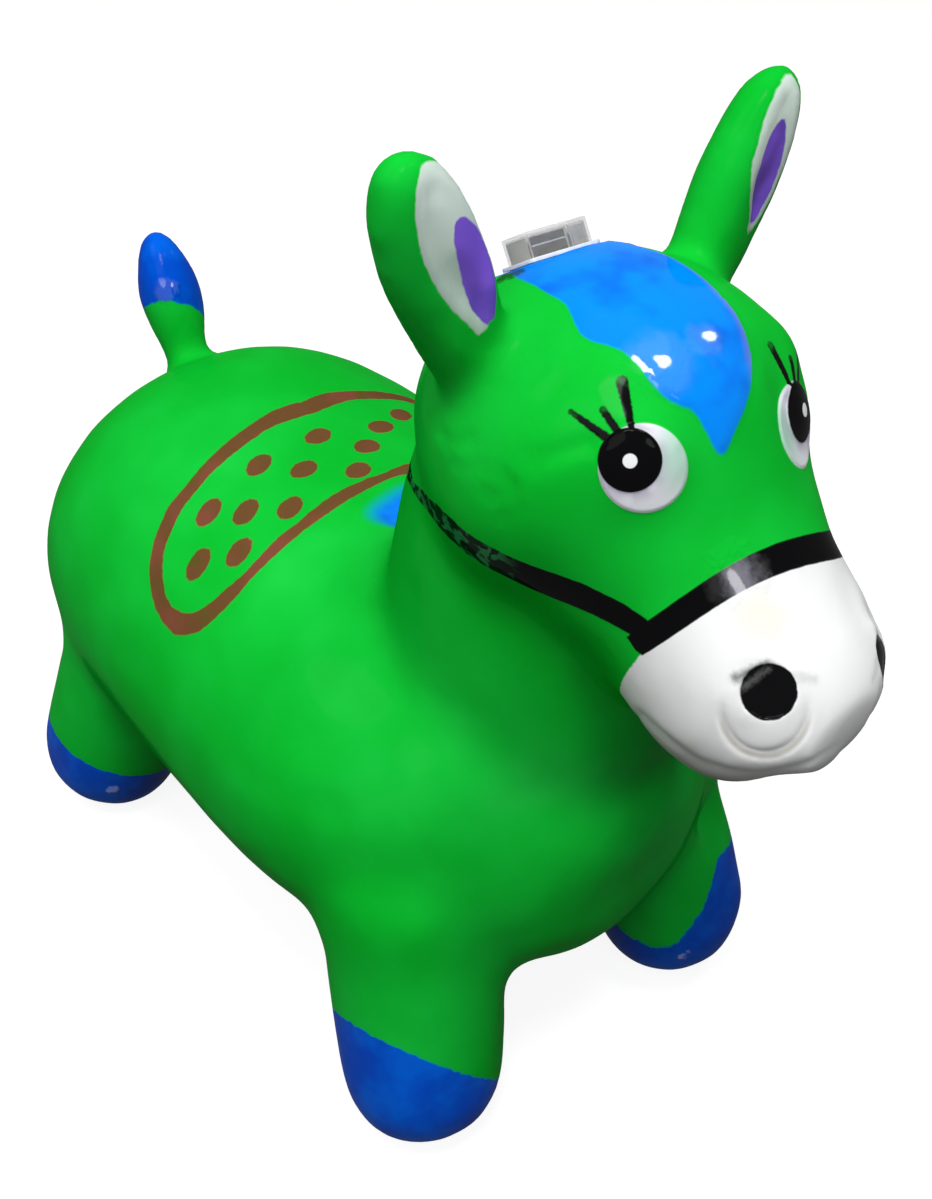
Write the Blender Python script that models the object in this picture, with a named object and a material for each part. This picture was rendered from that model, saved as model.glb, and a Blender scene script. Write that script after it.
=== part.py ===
"""Bouncy ride-on animal: an air-filled moulded skin with a sound and light box on its crown."""

import math

import bmesh
import bpy
from mathutils import Matrix, Vector
from mathutils.bvhtree import BVHTree

MM = 0.001

# The animal faces -Y. Places are laid out with Y = 0 near the front hooves and Z = 0 under the soles,
# and an empty at the end moves the whole model to the middle of its footprint.
# A row of limb shares is: place along the limb, rise of its centre, half width, depth above, depth below.

SIDEWAYS = Vector((1, 0, 0))

# Trunk
trunk_rear = 399 * MM
trunk_front = -34 * MM
trunk_centre_height = 158 * MM
trunk_width = 272 * MM
trunk_depth = 214 * MM
trunk_shares = [
    (0.000, 0.04, 0.00, 0.00, 0.00),
    (0.020, 0.04, 0.36, 0.36, 0.34),
    (0.070, 0.03, 0.64, 0.66, 0.64),
    (0.170, 0.02, 0.89, 0.97, 0.88),
    (0.330, 0.00, 1.00, 1.06, 0.95),
    (0.520, 0.00, 1.03, 1.00, 0.96),
    (0.700, 0.00, 1.03, 0.96, 0.95),
    (0.830, 0.00, 0.90, 0.92, 0.88),
    (0.920, 0.00, 0.66, 0.76, 0.74),
    (0.980, 0.02, 0.36, 0.42, 0.40),
    (1.000, 0.02, 0.00, 0.00, 0.00),
]

# Neck
neck_foot_place = 65 * MM
neck_foot_height = 120 * MM
neck_top_place = 40 * MM
neck_top_height = 400 * MM
neck_width = 146 * MM
neck_depth = 160 * MM
neck_shares = [
    (0.00, 0.0, 0.00, 0.00, 0.00),
    (0.04, 0.0, 0.60, 0.60, 0.60),
    (0.20, 0.0, 0.95, 0.95, 0.95),
    (0.50, 0.0, 1.00, 1.00, 1.00),
    (0.80, 0.0, 0.92, 0.92, 0.92),
    (0.96, 0.0, 0.60, 0.60, 0.60),
    (1.00, 0.0, 0.00, 0.00, 0.00),
]

# Head, from the back of the skull to the end of the muzzle
skull_back_place = 105 * MM
skull_back_height = 400 * MM
muzzle_end_place = -111 * MM
muzzle_end_height = 298 * MM
head_width = 158 * MM
head_depth = 150 * MM
head_shares = [
    (0.00, -0.10, 0.00, 0.00, 0.00),
    (0.03, -0.09, 0.50, 0.45, 0.45),
    (0.12, -0.06, 0.82, 0.78, 0.80),
    (0.28, 0.00, 1.04, 1.03, 1.00),
    (0.42, 0.01, 1.06, 1.05, 0.98),
    (0.55, 0.00, 0.84, 0.86, 0.86),
    (0.67, -0.01, 0.71, 0.66, 0.74),
    (0.79, -0.03, 0.68, 0.62, 0.73),
    (0.89, -0.03, 0.62, 0.58, 0.66),
    (0.97, -0.04, 0.45, 0.44, 0.46),
    (1.00, -0.05, 0.00, 0.00, 0.00),
]

# Legs
leg_width = 82 * MM
front_track = 190 * MM
front_hoof_place = -9 * MM
front_hip_spread = 152 * MM
front_hip_place = 50 * MM
rear_track = 218 * MM
rear_hoof_place = 302 * MM
rear_hip_spread = 144 * MM
rear_hip_place = 275 * MM
hip_height = 165 * MM
sole_depth = 1.6 * MM
leg_shares = [
    (0.00, 0.0, 0.00, 0.00, 0.00),
    (0.03, 0.0, 0.60, 0.60, 0.60),
    (0.12, 0.0, 0.95, 0.95, 0.95),
    (0.28, 0.0, 1.05, 1.05, 1.05),
    (0.60, 0.0, 1.10, 1.10, 1.10),
    (0.90, 0.0, 1.12, 1.12, 1.12),
    (1.00, 0.0, 0.00, 0.00, 0.00),
]

# Ears, each with a shallow dish in its front
ear_foot_spread = 96 * MM
ear_foot_place = 52 * MM
ear_foot_height = 380 * MM
ear_tip_spread = 208 * MM
ear_tip_place = 60 * MM
ear_tip_height = 501 * MM
ear_width = 43 * MM
ear_depth = 33 * MM
ear_turn = math.radians(8)
ear_shares = [
    (0.00, 0.0, 0.74, 0.90, 0.90),
    (0.20, 0.0, 0.74, 0.88, 0.88),
    (0.42, 0.0, 0.90, 0.95, 0.95),
    (0.62, 0.0, 1.00, 1.00, 1.00),
    (0.80, 0.0, 0.88, 0.86, 0.86),
    (0.93, 0.0, 0.58, 0.60, 0.60),
    (1.00, 0.0, 0.00, 0.00, 0.00),
]
dish_place_share = 0.60
dish_length = 70 * MM
dish_width = 29 * MM
dish_depth = 2.5 * MM

# Tail
tail_foot_place = 352 * MM
tail_foot_height = 215 * MM
tail_tip_place = 402 * MM
tail_tip_height = 309 * MM
tail_width = 36 * MM
tail_shares = [
    (0.00, 0.0, 0.80, 0.80, 0.80),
    (0.30, 0.0, 0.70, 0.70, 0.70),
    (0.50, 0.0, 0.95, 0.95, 0.95),
    (0.66, 0.0, 1.02, 1.02, 1.02),
    (0.85, 0.0, 0.72, 0.72, 0.72),
    (0.97, 0.0, 0.34, 0.34, 0.34),
    (1.00, 0.0, 0.00, 0.00, 0.00),
]

# Moulded skin: how finely its limbs are blended, its wall and its face relief
body_voxel = 6 * MM
body_blend_steps = 16
limb_voxel = 4 * MM
limb_blend_steps = 8
outer_faces = 3400
inner_faces = 1800
limb_sides = 28
limb_rings = 30
mirror_reach = 0.1 * MM
sharp_angle = math.radians(40)
least_share = 0.004
skin_wall = 2.2 * MM
thinnest_wall = 1.7 * MM
wall_steps = 24
wall_samples = 5
eye_spread = 95 * MM
eye_height = 402 * MM
eye_width = 34 * MM
eye_relief = 1.6 * MM
nostril_spread = 68 * MM
nostril_height = 336 * MM
nostril_width = 22 * MM
nostril_depth = 2.0 * MM
nostril_lip = 3 * MM
nostril_lip_relief = 2.2 * MM
nostril_throat_share = 0.75

# Sound and light box, in its own frame: Z out of the crown, Y up the slope behind it
box_place = 80 * MM
box_tilt = math.radians(36)
flange_length = 39.5 * MM
flange_width = 21.6 * MM
flange_thickness = 1.6 * MM
flange_radius = 3 * MM
seat_margin = 2.5 * MM
seat_slope = 9 * MM
seat_sink = 2.5 * MM
crown_flat_width = 46 * MM
cover_length = 34.5 * MM
cover_width = 16.6 * MM
cover_height = 10.8 * MM
cover_wall = 1.2 * MM
cover_radius = 1.6 * MM
groove_depth = 0.8 * MM
tub_depth = 11 * MM
tub_wall = 1.2 * MM
fit_gap = 0.3 * MM
pocket_gap = 0.5 * MM

# Circuit board and what stands on it
board_thickness = 1 * MM
board_depth = 3.8 * MM
post_width = 3.2 * MM
post_inset = 0.4 * MM
screw_width = 1.4 * MM
screw_head_width = 3 * MM
screw_head_height = 1 * MM
screw_slot_width = 0.5 * MM
screw_slot_depth = 0.5 * MM
cell_width = 11.6 * MM
cell_thickness = 5.4 * MM
cell_rim = 0.6 * MM
cell_count = 3
holder_wall = 0.7 * MM
holder_height = 7.6 * MM
contact_thickness = 0.4 * MM
contact_width = 6 * MM
contact_height = 8 * MM
leaf_bend = 1.2 * MM
led_width = 3 * MM
led_height = 5.2 * MM
led_rim_width = 3.6 * MM
led_rim_height = 0.8 * MM
led_leg_width = 0.5 * MM
led_leg_height = 5 * MM
led_leg_pitch = 1.4 * MM
led_dome_steps = 5
blob_width = 4.4 * MM
blob_height = 1.2 * MM
blob_shoulder_share = 0.84
speaker_width = 13.2 * MM
speaker_height = 3.4 * MM
speaker_rim = 1.2 * MM
cone_depth = 1.2 * MM
cone_thickness = 0.4 * MM
grille_hole_width = 1.4 * MM
grille_ring_width = 7 * MM
grille_holes = 6
wire_width = 0.8 * MM
wire_pitch = 2.4 * MM
wire_spread = 2.4 * MM
wire_set_back = 2 * MM
wire_points = 9
trembler_width = 3.6 * MM
trembler_wire = 0.5 * MM
trembler_pitch = 1.4 * MM
trembler_turns = 5
trembler_pin_width = 0.8 * MM

# Air valve under the belly
valve_place = 205 * MM
valve_bore = 9.6 * MM
valve_boss_width = 16 * MM
valve_boss_depth = 11 * MM
plug_head_width = 20 * MM
plug_head_height = 1.8 * MM
plug_stem_width = 8.2 * MM
plug_length = 14 * MM
plug_rib_width = 9 * MM
plug_rib_height = 1.2 * MM
plug_grip_width = 2.4 * MM
plug_grip_height = 1.6 * MM
plug_grip_share = 0.70
plug_rib_place_share = 0.70
plug_tip_share = 0.80

# Shared making values
overrun = 1 * MM
round_sides = 28
small_sides = 16


def clear_scene():
    for obj in list(bpy.data.objects):
        bpy.data.objects.remove(obj, do_unlink=True)


def paint(name, colour, roughness, metallic=0.0, alpha=1.0):
    material = bpy.data.materials.new(name)
    material.use_nodes = True
    shader = material.node_tree.nodes["Principled BSDF"]
    shader.inputs["Base Color"].default_value = (*colour, 1)
    shader.inputs["Roughness"].default_value = roughness
    shader.inputs["Metallic"].default_value = metallic
    shader.inputs["Alpha"].default_value = alpha
    return material


def add_object(name, data, parent=None, material=None):
    obj = bpy.data.objects.new(name, data)
    bpy.context.scene.collection.objects.link(obj)
    obj.parent = parent
    if material:
        obj.data.materials.clear()
        obj.data.materials.append(material)
    return obj


def add_empty(name, parent=None, location=(0, 0, 0)):
    empty = bpy.data.objects.new(name, None)
    bpy.context.scene.collection.objects.link(empty)
    empty.parent = parent
    empty.location = location
    return empty


def mesh_data(name, mesh):
    data = bpy.data.meshes.new(name)
    mesh.to_mesh(data)
    mesh.free()
    return data


def guide(obj):
    """Marks an object that only shapes others."""
    obj.hide_render = True
    obj.display_type = "WIRE"
    return obj


def evaluated_mesh(obj):
    bpy.context.view_layer.update()
    graph = bpy.context.evaluated_depsgraph_get()
    return bpy.data.meshes.new_from_object(obj.evaluated_get(graph))


def combine(target, tool, operation, solver="EXACT"):
    modifier = target.modifiers.new(tool.name, "BOOLEAN")
    modifier.operation = operation
    modifier.solver = solver
    modifier.object = tool
    guide(tool)


def combine_skin(target, tool, operation):
    """The many small facets of the skin and its cavity need the solver that always closes its result."""
    combine(target, tool, operation, "MANIFOLD")


def smooth_shading(obj):
    obj.data.shade_smooth()
    obj.data.set_sharp_from_angle(angle=sharp_angle)


def block(length, width, low, high, radius=0.0):
    """An upright block centred on the Z axis, its upright edges rounded."""
    mesh = bmesh.new()
    bmesh.ops.create_cube(mesh, size=1)
    bmesh.ops.scale(mesh, vec=(length, width, high - low), verts=mesh.verts)
    bmesh.ops.translate(mesh, vec=(0, 0, (high + low) / 2), verts=mesh.verts)
    if radius:
        upright = [e for e in mesh.edges if abs(e.verts[0].co.z - e.verts[1].co.z) > (high - low) / 2]
        bmesh.ops.bevel(mesh, geom=upright, offset=radius, segments=4, affect="EDGES", profile=0.5)
    return mesh


def turned(profile, sides=round_sides):
    """Turns a profile of (radius, height) points, from its top on the axis to its foot, about Z."""
    mesh = bmesh.new()
    loops = []
    for radius, height in profile:
        if radius == 0:
            loops.append([mesh.verts.new((0, 0, height))])
            continue
        loops.append([
            mesh.verts.new((radius * math.cos(turn), radius * math.sin(turn), height))
            for turn in (2 * math.pi * k / sides for k in range(sides))
        ])
    for upper, lower in zip(loops, loops[1:]):
        for k in range(sides):
            m = (k + 1) % sides
            if len(upper) == 1:
                mesh.faces.new((upper[0], lower[k], lower[m]))
            elif len(lower) == 1:
                mesh.faces.new((upper[m], upper[k], lower[0]))
            else:
                mesh.faces.new((upper[m], upper[k], lower[k], lower[m]))
    return mesh


def tube(name, points, width, resolution):
    """A round wire along a list of points."""
    curve = bpy.data.curves.new(name, "CURVE")
    curve.dimensions = "3D"
    curve.bevel_depth = width / 2
    curve.bevel_resolution = resolution
    curve.use_fill_caps = True
    spline = curve.splines.new("POLY")
    spline.points.add(len(points) - 1)
    for point, place in zip(spline.points, points):
        point.co = (*place, 1)
    return curve


def fair_rows(rows, count):
    """Reads a smooth curve through rows of numbers at evenly spaced places."""
    spans = len(rows) - 1
    read = []
    for step in range(count):
        place = step * spans / (count - 1)
        span = min(int(place), spans - 1)
        t = place - span
        four = rows[max(span - 1, 0)], rows[span], rows[span + 1], rows[min(span + 2, spans)]
        read.append([
            b + ((c - a) * t + (2 * a - 5 * b + 4 * c - d) * t ** 2 + (3 * b - a - 3 * c + d) * t ** 3) / 2
            for a, b, c, d in zip(*four)
        ])
    return read


def add_limb(mesh, start, end, width, depth, shares, side=SIDEWAYS):
    """Lofts one closed limb through the oval rings that its table of shares gives."""
    line = end - start
    side = (side - line * (side.dot(line) / line.length_squared)).normalized()
    up = side.cross(line.normalized())
    if up.z < -least_share or (abs(up.z) <= least_share and up.y > 0):
        up = -up
    rows = [
        (start + line * place + up * (rise * depth), max(half, least_share) * width / 2,
         max(above, least_share) * depth / 2, max(below, least_share) * depth / 2)
        for place, rise, half, above, below in fair_rows(shares, limb_rings)
    ]
    loops = []
    for index, (centre, half, above, below) in enumerate(rows):
        ahead = rows[min(index + 1, len(rows) - 1)][0] - rows[max(index - 1, 0)][0]
        lift = (up - ahead * (up.dot(ahead) / ahead.length_squared)).normalized()
        loop = []
        for k in range(limb_sides):
            turn = 2 * math.pi * k / limb_sides
            height = math.sin(turn) * (above if math.sin(turn) > 0 else below)
            loop.append(mesh.verts.new(centre + side * (half * math.cos(turn)) + lift * height))
        loops.append(loop)
    made = [mesh.faces.new(reversed(loops[0])), mesh.faces.new(loops[-1])]
    for near, far in zip(loops, loops[1:]):
        for k in range(limb_sides):
            m = (k + 1) % limb_sides
            made.append(mesh.faces.new((near[k], near[m], far[m], far[k])))
    bmesh.ops.recalc_face_normals(mesh, faces=made)


def fuse(obj, voxel, steps):
    """Fuses overlapping limbs into one surface and fairs the creases between them."""
    remesh = obj.modifiers.new("fuse", "REMESH")
    remesh.mode = "VOXEL"
    remesh.voxel_size = voxel
    smooth = obj.modifiers.new("blend", "SMOOTH")
    smooth.factor = 0.5
    smooth.iterations = steps


def body_form():
    """Trunk, neck, head and legs, which run into each other."""
    mesh = bmesh.new()
    rump = Vector((0, trunk_rear, trunk_centre_height))
    chest = Vector((0, trunk_front, trunk_centre_height))
    add_limb(mesh, rump, chest, trunk_width, trunk_depth, trunk_shares)
    neck_foot = Vector((0, neck_foot_place, neck_foot_height))
    neck_top = Vector((0, neck_top_place, neck_top_height))
    add_limb(mesh, neck_foot, neck_top, neck_width, neck_depth, neck_shares)
    skull = Vector((0, skull_back_place, skull_back_height))
    muzzle = Vector((0, muzzle_end_place, muzzle_end_height))
    add_limb(mesh, skull, muzzle, head_width, head_depth, head_shares)
    for hand in (-1, 1):
        front_hoof = Vector((hand * front_track / 2, front_hoof_place, 0))
        front_hip = Vector((hand * front_hip_spread / 2, front_hip_place, hip_height))
        add_limb(mesh, front_hoof, front_hip, leg_width, leg_width, leg_shares)
        rear_hoof = Vector((hand * rear_track / 2, rear_hoof_place, 0))
        rear_hip = Vector((hand * rear_hip_spread / 2, rear_hip_place, hip_height))
        add_limb(mesh, rear_hoof, rear_hip, leg_width, leg_width, leg_shares)
    form = guide(add_object("body_form", mesh_data("body_form", mesh)))
    fuse(form, body_voxel, body_blend_steps)
    return form


def ear_line(hand):
    foot = Vector((hand * ear_foot_spread / 2, ear_foot_place, ear_foot_height))
    tip = Vector((hand * ear_tip_spread / 2, ear_tip_place, ear_tip_height))
    return foot, tip


def animal_form():
    """The whole outer form, with ears and tail standing out of the body."""
    mesh = bmesh.new()
    mesh.from_mesh(evaluated_mesh(body_form()))
    for hand in (-1, 1):
        foot, tip = ear_line(hand)
        across = Vector((math.cos(ear_turn), hand * math.sin(ear_turn), 0))
        add_limb(mesh, foot, tip, ear_width, ear_depth, ear_shares, across)
    tail_foot = Vector((0, tail_foot_place, tail_foot_height))
    tail_tip = Vector((0, tail_tip_place, tail_tip_height))
    add_limb(mesh, tail_foot, tail_tip, tail_width, tail_width, tail_shares)
    form = guide(add_object("animal_form", mesh_data("animal_form", mesh)))
    fuse(form, limb_voxel, limb_blend_steps)
    return form


def thinned(form, name, faces, inset=0.0):
    """A symmetric copy of the form with about so many triangles, drawn in by an inset."""
    fine = evaluated_mesh(form)
    copy = guide(add_object(name, fine))
    if inset:
        shrink = copy.modifiers.new("inset", "DISPLACE")
        shrink.strength = -inset
        shrink.mid_level = 0
    thin = copy.modifiers.new("thin", "DECIMATE")
    thin.ratio = faces / (2 * len(fine.polygons))
    mirror = copy.modifiers.new("mirror", "MIRROR")
    mirror.use_bisect_axis[0] = True
    mirror.merge_threshold = mirror_reach
    result = evaluated_mesh(copy)
    bpy.data.objects.remove(copy)
    return result


def spread_over(a, b, c):
    """Evenly spread places on a triangle, its corners included."""
    n = wall_samples
    return [(a * i + b * j + c * (n - i - j)) / n for i in range(n + 1) for j in range(n + 1 - i)]


def keep_wall(inner, tree):
    """Draws the cavity in where its flat facets, or those outside, would leave the wall too thin."""
    faceted = bmesh.new()
    faceted.from_mesh(inner)
    bmesh.ops.triangulate(faceted, faces=faceted.faces)
    faceted.to_mesh(inner)
    for _ in range(wall_steps):
        moves = [Vector() for _ in inner.vertices]
        for face in inner.polygons:
            for spot in spread_over(*[inner.vertices[i].co for i in face.vertices]):
                place, normal, _, _ = tree.find_nearest(spot)
                missing = thinnest_wall - (place - spot).dot(normal)
                for i in face.vertices:
                    if missing > moves[i].length:
                        moves[i] = normal * -missing
        for vertex, move in zip(inner.vertices, moves):
            if abs(vertex.co.x) < mirror_reach:
                move.x = 0
            vertex.co += move
    inner.update()


def touch(tree, origin, direction):
    """Where a line from outside first meets the form, and the outward normal there."""
    place, normal, _, _ = tree.ray_cast(origin, direction)
    return place, normal


def facing(place, normal, across=SIDEWAYS):
    """A frame whose Z is a normal and whose X lies closest to a given direction."""
    z = normal.normalized()
    x = (across - z * across.dot(z)).normalized()
    return Matrix.Translation(place) @ Matrix((x, z.cross(x), z)).transposed().to_4x4()


def tool_at(name, mesh, frame, scale=None):
    if scale:
        bmesh.ops.scale(mesh, vec=scale, verts=mesh.verts)
    mesh.transform(frame)
    return guide(add_object(name, mesh_data(name, mesh)))


def ball():
    mesh = bmesh.new()
    bmesh.ops.create_uvsphere(mesh, u_segments=20, v_segments=8, radius=1)
    return mesh


def pin(radius, low, high, sides=small_sides):
    return turned([(0, high), (radius, high), (radius, low), (0, low)], sides)


def combine_both(skin, cavity, name, make, frame, operation, wall=skin_wall):
    """Cuts or adds a shape in the skin, and keeps the wall behind it clear of the cavity."""
    combine_skin(skin, tool_at(name, make(0), frame), operation)
    combine_skin(cavity, tool_at(name + "_wall", make(wall), frame), "DIFFERENCE")


def cut_nostril(skin, cavity, tree, hand, side):
    start = Vector((hand * nostril_spread / 2, muzzle_end_place - head_depth, nostril_height))
    place, normal = touch(tree, start, Vector((0, 1, 0)))
    frame = facing(place, normal)
    radius = nostril_width / 2
    lip_radius = radius + nostril_lip
    lip = tool_at(f"{side}_nostril_lip", ball(), frame, (lip_radius, lip_radius, nostril_lip_relief))
    combine_skin(skin, lip, "UNION")

    def throat(wall):
        return turned([
            (0, nostril_lip_relief + overrun), (radius + wall, nostril_lip_relief + overrun),
            (radius * nostril_throat_share + wall, -nostril_depth - wall), (0, -nostril_depth - wall),
        ], small_sides)

    combine_both(skin, cavity, f"{side}_nostril", throat, frame, "DIFFERENCE")


def cut_ear_dish(skin, cavity, tree, hand, side):
    foot, tip = ear_line(hand)
    middle = foot.lerp(tip, dish_place_share)
    ahead = Vector((hand * math.sin(ear_turn), -math.cos(ear_turn), 0))
    place, normal = touch(tree, middle + ahead * ear_width, -ahead)
    along = tip - foot
    frame = facing(place, normal, along)

    def dish(wall):
        mesh = ball()
        size = (dish_length / 2 + wall, dish_width / 2 + wall, dish_depth + wall)
        bmesh.ops.scale(mesh, vec=size, verts=mesh.verts)
        return mesh

    combine_both(skin, cavity, f"{side}_ear_dish", dish, frame, "DIFFERENCE")


def add_face_relief(skin, cavity, tree):
    """Raised eyes, sunk nostrils in raised lips, and a dish in the front of each ear."""
    for hand, side in ((-1, "right"), (1, "left")):
        start = Vector((hand * eye_spread / 2, muzzle_end_place - head_depth, eye_height))
        frame = facing(*touch(tree, start, Vector((0, 1, 0))))
        eye = tool_at(f"{side}_eye_form", ball(), frame, (eye_width / 2, eye_width / 2, eye_relief))
        combine_skin(skin, eye, "UNION")
        cut_nostril(skin, cavity, tree, hand, side)
        cut_ear_dish(skin, cavity, tree, hand, side)


def cut_soles(skin, cavity, lowest):
    """Flattens the underside of each hoof where the animal stands."""
    size = trunk_rear - muzzle_end_place

    def floor(wall):
        return block(size * 2, size * 2, lowest - leg_width, lowest + sole_depth + wall)

    combine_both(skin, cavity, "sole_plane", floor, Matrix.Identity(4), "DIFFERENCE")


def seat_frame(tree):
    """Where the box's flange lies on the crown: on the surface, square to the box's tilt."""
    out = Vector((0, math.sin(box_tilt), math.cos(box_tilt)))
    place, _ = touch(tree, Vector((0, box_place, neck_top_height + head_depth)), Vector((0, 0, -1)))
    return Matrix.Translation(place - out * seat_sink) @ Matrix.Rotation(-box_tilt, 4, "X")


tub_inner_length = cover_length - 2 * cover_wall
tub_inner_width = cover_width - 2 * cover_wall
tub_length = tub_inner_length + 2 * tub_wall
tub_width = tub_inner_width + 2 * tub_wall
flange_low = fit_gap
flange_top = flange_low + flange_thickness
tub_low = flange_low - tub_depth
tub_floor = tub_low + tub_wall
cover_low = flange_top - groove_depth + fit_gap
cover_top = flange_top + cover_height
board_top = flange_top - board_depth
board_low = board_top - board_thickness
post_place_x = tub_inner_length / 2 - post_inset - post_width / 2
post_place_y = tub_inner_width / 2 - post_inset - post_width / 2
under_board_place = (speaker_width / 2 + post_place_x - post_width / 2) / 2


def cut_pocket(skin, cavity, frame):
    """A flat across the crown, filled out to the flange's corners, with a pocket for the tub in it."""
    seat = block(flange_length + 2 * seat_margin, flange_width + 2 * seat_margin, -seat_slope, 0,
                 flange_radius + seat_margin)
    foot = [v for v in seat.verts if v.co.z < -seat_slope / 2]
    spread_x = 1 + seat_slope / flange_length
    spread_y = 1 + seat_slope / flange_width
    bmesh.ops.scale(seat, vec=(spread_x, spread_y, 1), verts=foot)
    combine_skin(skin, tool_at("pocket_seat", seat, frame), "UNION")

    def clearing(wall):
        width = crown_flat_width + 2 * wall
        return block(width, width, -wall, seat_slope)

    combine_both(skin, cavity, "seat_clearing", clearing, frame, "DIFFERENCE")

    def pocket(wall):
        room = 2 * (pocket_gap + wall)
        return block(tub_length + room, tub_width + room, tub_low - pocket_gap - wall, overrun + wall,
                     cover_radius + wall)

    combine_both(skin, cavity, "tub_pocket", pocket, frame, "DIFFERENCE")


def corners(reach_x, reach_y):
    return [(x * reach_x, y * reach_y) for x in (-1, 1) for y in (-1, 1)]


def make_tray(seat):
    """Tub and flange in one, with a groove for the cover, four board posts and a speaker grille."""
    tray = add_object("module_tray", mesh_data("module_tray", block(
        flange_length, flange_width, flange_low, flange_top, flange_radius)), seat,
        paint("white_plastic", (0.86, 0.87, 0.88), 0.4))
    shell = block(tub_length, tub_width, tub_low, flange_low + flange_thickness / 2, cover_radius)
    combine(tray, add_object("tub_form", mesh_data("tub_form", shell), seat), "UNION")
    groove = block(cover_length + 2 * fit_gap, cover_width + 2 * fit_gap, flange_top - groove_depth,
                   flange_top + overrun, cover_radius + fit_gap)
    combine(tray, add_object("groove_form", mesh_data("groove_form", groove), seat), "DIFFERENCE")
    room = block(tub_inner_length, tub_inner_width, tub_floor, flange_top + overrun)
    combine(tray, add_object("tub_room", mesh_data("tub_room", room), seat), "DIFFERENCE")
    for index, place in enumerate(corners(post_place_x, post_place_y)):
        post = pin(post_width / 2, tub_low + tub_wall / 2, board_low - fit_gap)
        bmesh.ops.translate(post, vec=(*place, 0), verts=post.verts)
        combine(tray, add_object(f"post_form_{index}", mesh_data("post_form", post), seat), "UNION")
        bore = pin(screw_width / 2 + fit_gap, tub_floor, board_low + overrun, small_sides // 2)
        bmesh.ops.translate(bore, vec=(*place, 0), verts=bore.verts)
        combine(tray, add_object(f"post_bore_{index}", mesh_data("post_bore", bore), seat), "DIFFERENCE")
    spots = [(0, 0)] + [
        (grille_ring_width / 2 * math.cos(turn), grille_ring_width / 2 * math.sin(turn))
        for turn in (2 * math.pi * k / grille_holes for k in range(grille_holes))
    ]
    for index, spot in enumerate(spots):
        hole = pin(grille_hole_width / 2, tub_low - overrun, tub_floor + overrun, small_sides // 2)
        bmesh.ops.translate(hole, vec=(*spot, 0), verts=hole.verts)
        combine(tray, add_object(f"grille_hole_{index}", mesh_data("grille_hole", hole), seat), "DIFFERENCE")


def make_cover(seat):
    """A clear lid, open below, that stands in the tray's groove."""
    mesh = block(cover_length, cover_width, cover_low, cover_top, cover_radius)
    cover = add_object("clear_cover", mesh_data("clear_cover", mesh), seat,
                       paint("clear_plastic", (0.93, 0.94, 0.95), 0.08, alpha=0.35))
    room = block(cover_length - 2 * cover_wall, cover_width - 2 * cover_wall, cover_low - overrun,
                 cover_top - cover_wall, cover_radius - cover_wall / 2)
    combine(cover, add_object("cover_room", mesh_data("cover_room", room), seat), "DIFFERENCE")


def make_board(seat):
    """Circuit board on the tray's posts, with its four screws and the chip under a drop of resin."""
    board = add_object("circuit_board", mesh_data("circuit_board", block(
        tub_inner_length - 2 * fit_gap, tub_inner_width - 2 * fit_gap, board_low, board_top)), seat,
        paint("board_green", (0.05, 0.22, 0.1), 0.45))
    steel = paint("screw_steel", (0.62, 0.62, 0.64), 0.3, 1.0)
    head_low = board_top + fit_gap
    for index, place in enumerate(corners(post_place_x, post_place_y)):
        bore = pin(screw_width / 2 + fit_gap, board_low - overrun, board_top + overrun, small_sides // 2)
        bmesh.ops.translate(bore, vec=(*place, 0), verts=bore.verts)
        combine(board, add_object(f"board_bore_{index}", mesh_data("board_bore", bore), seat), "DIFFERENCE")
        profile = [
            (0, head_low + screw_head_height), (screw_head_width / 3, head_low + screw_head_height),
            (screw_head_width / 2, head_low + screw_head_height / 2), (screw_head_width / 2, head_low),
            (screw_width / 2, head_low), (screw_width / 2, tub_floor + screw_width),
            (0, tub_floor + screw_width / 2),
        ]
        screw = add_object(f"board_screw_{index + 1}", mesh_data("board_screw", turned(profile, small_sides)),
                           seat, steel)
        screw.location = (*place, 0)
        head_top = head_low + screw_head_height
        slot_low = head_top - screw_slot_depth
        slot = block(screw_head_width + overrun, screw_slot_width, slot_low, head_top + overrun)
        cutter = add_object(f"screw_slot_{index + 1}", mesh_data("screw_slot", slot), seat)
        cutter.location = (*place, 0)
        combine(screw, cutter, "DIFFERENCE")
        smooth_shading(screw)
    top = board_low - fit_gap
    blob = turned([
        (0, top), (blob_width / 2, top), (blob_width / 2 * blob_shoulder_share, top - blob_height / 2),
        (blob_width / 4, top - blob_height), (0, top - blob_height),
    ], small_sides)
    resin = paint("resin_black", (0.01, 0.01, 0.01), 0.25)
    chip = add_object("chip_drop", mesh_data("chip_drop", blob), seat, resin)
    chip.location = (-under_board_place, 0, 0)
    smooth_shading(chip)


stack_length = cell_count * cell_thickness + (cell_count - 1) * fit_gap
holder_inner_length = stack_length + 2 * contact_thickness + leaf_bend + 4 * fit_gap
holder_inner_width = cell_width + 2 * fit_gap
holder_low = board_top + fit_gap
holder_floor = holder_low + holder_wall
cell_centre = holder_floor + fit_gap + cell_width / 2


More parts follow.
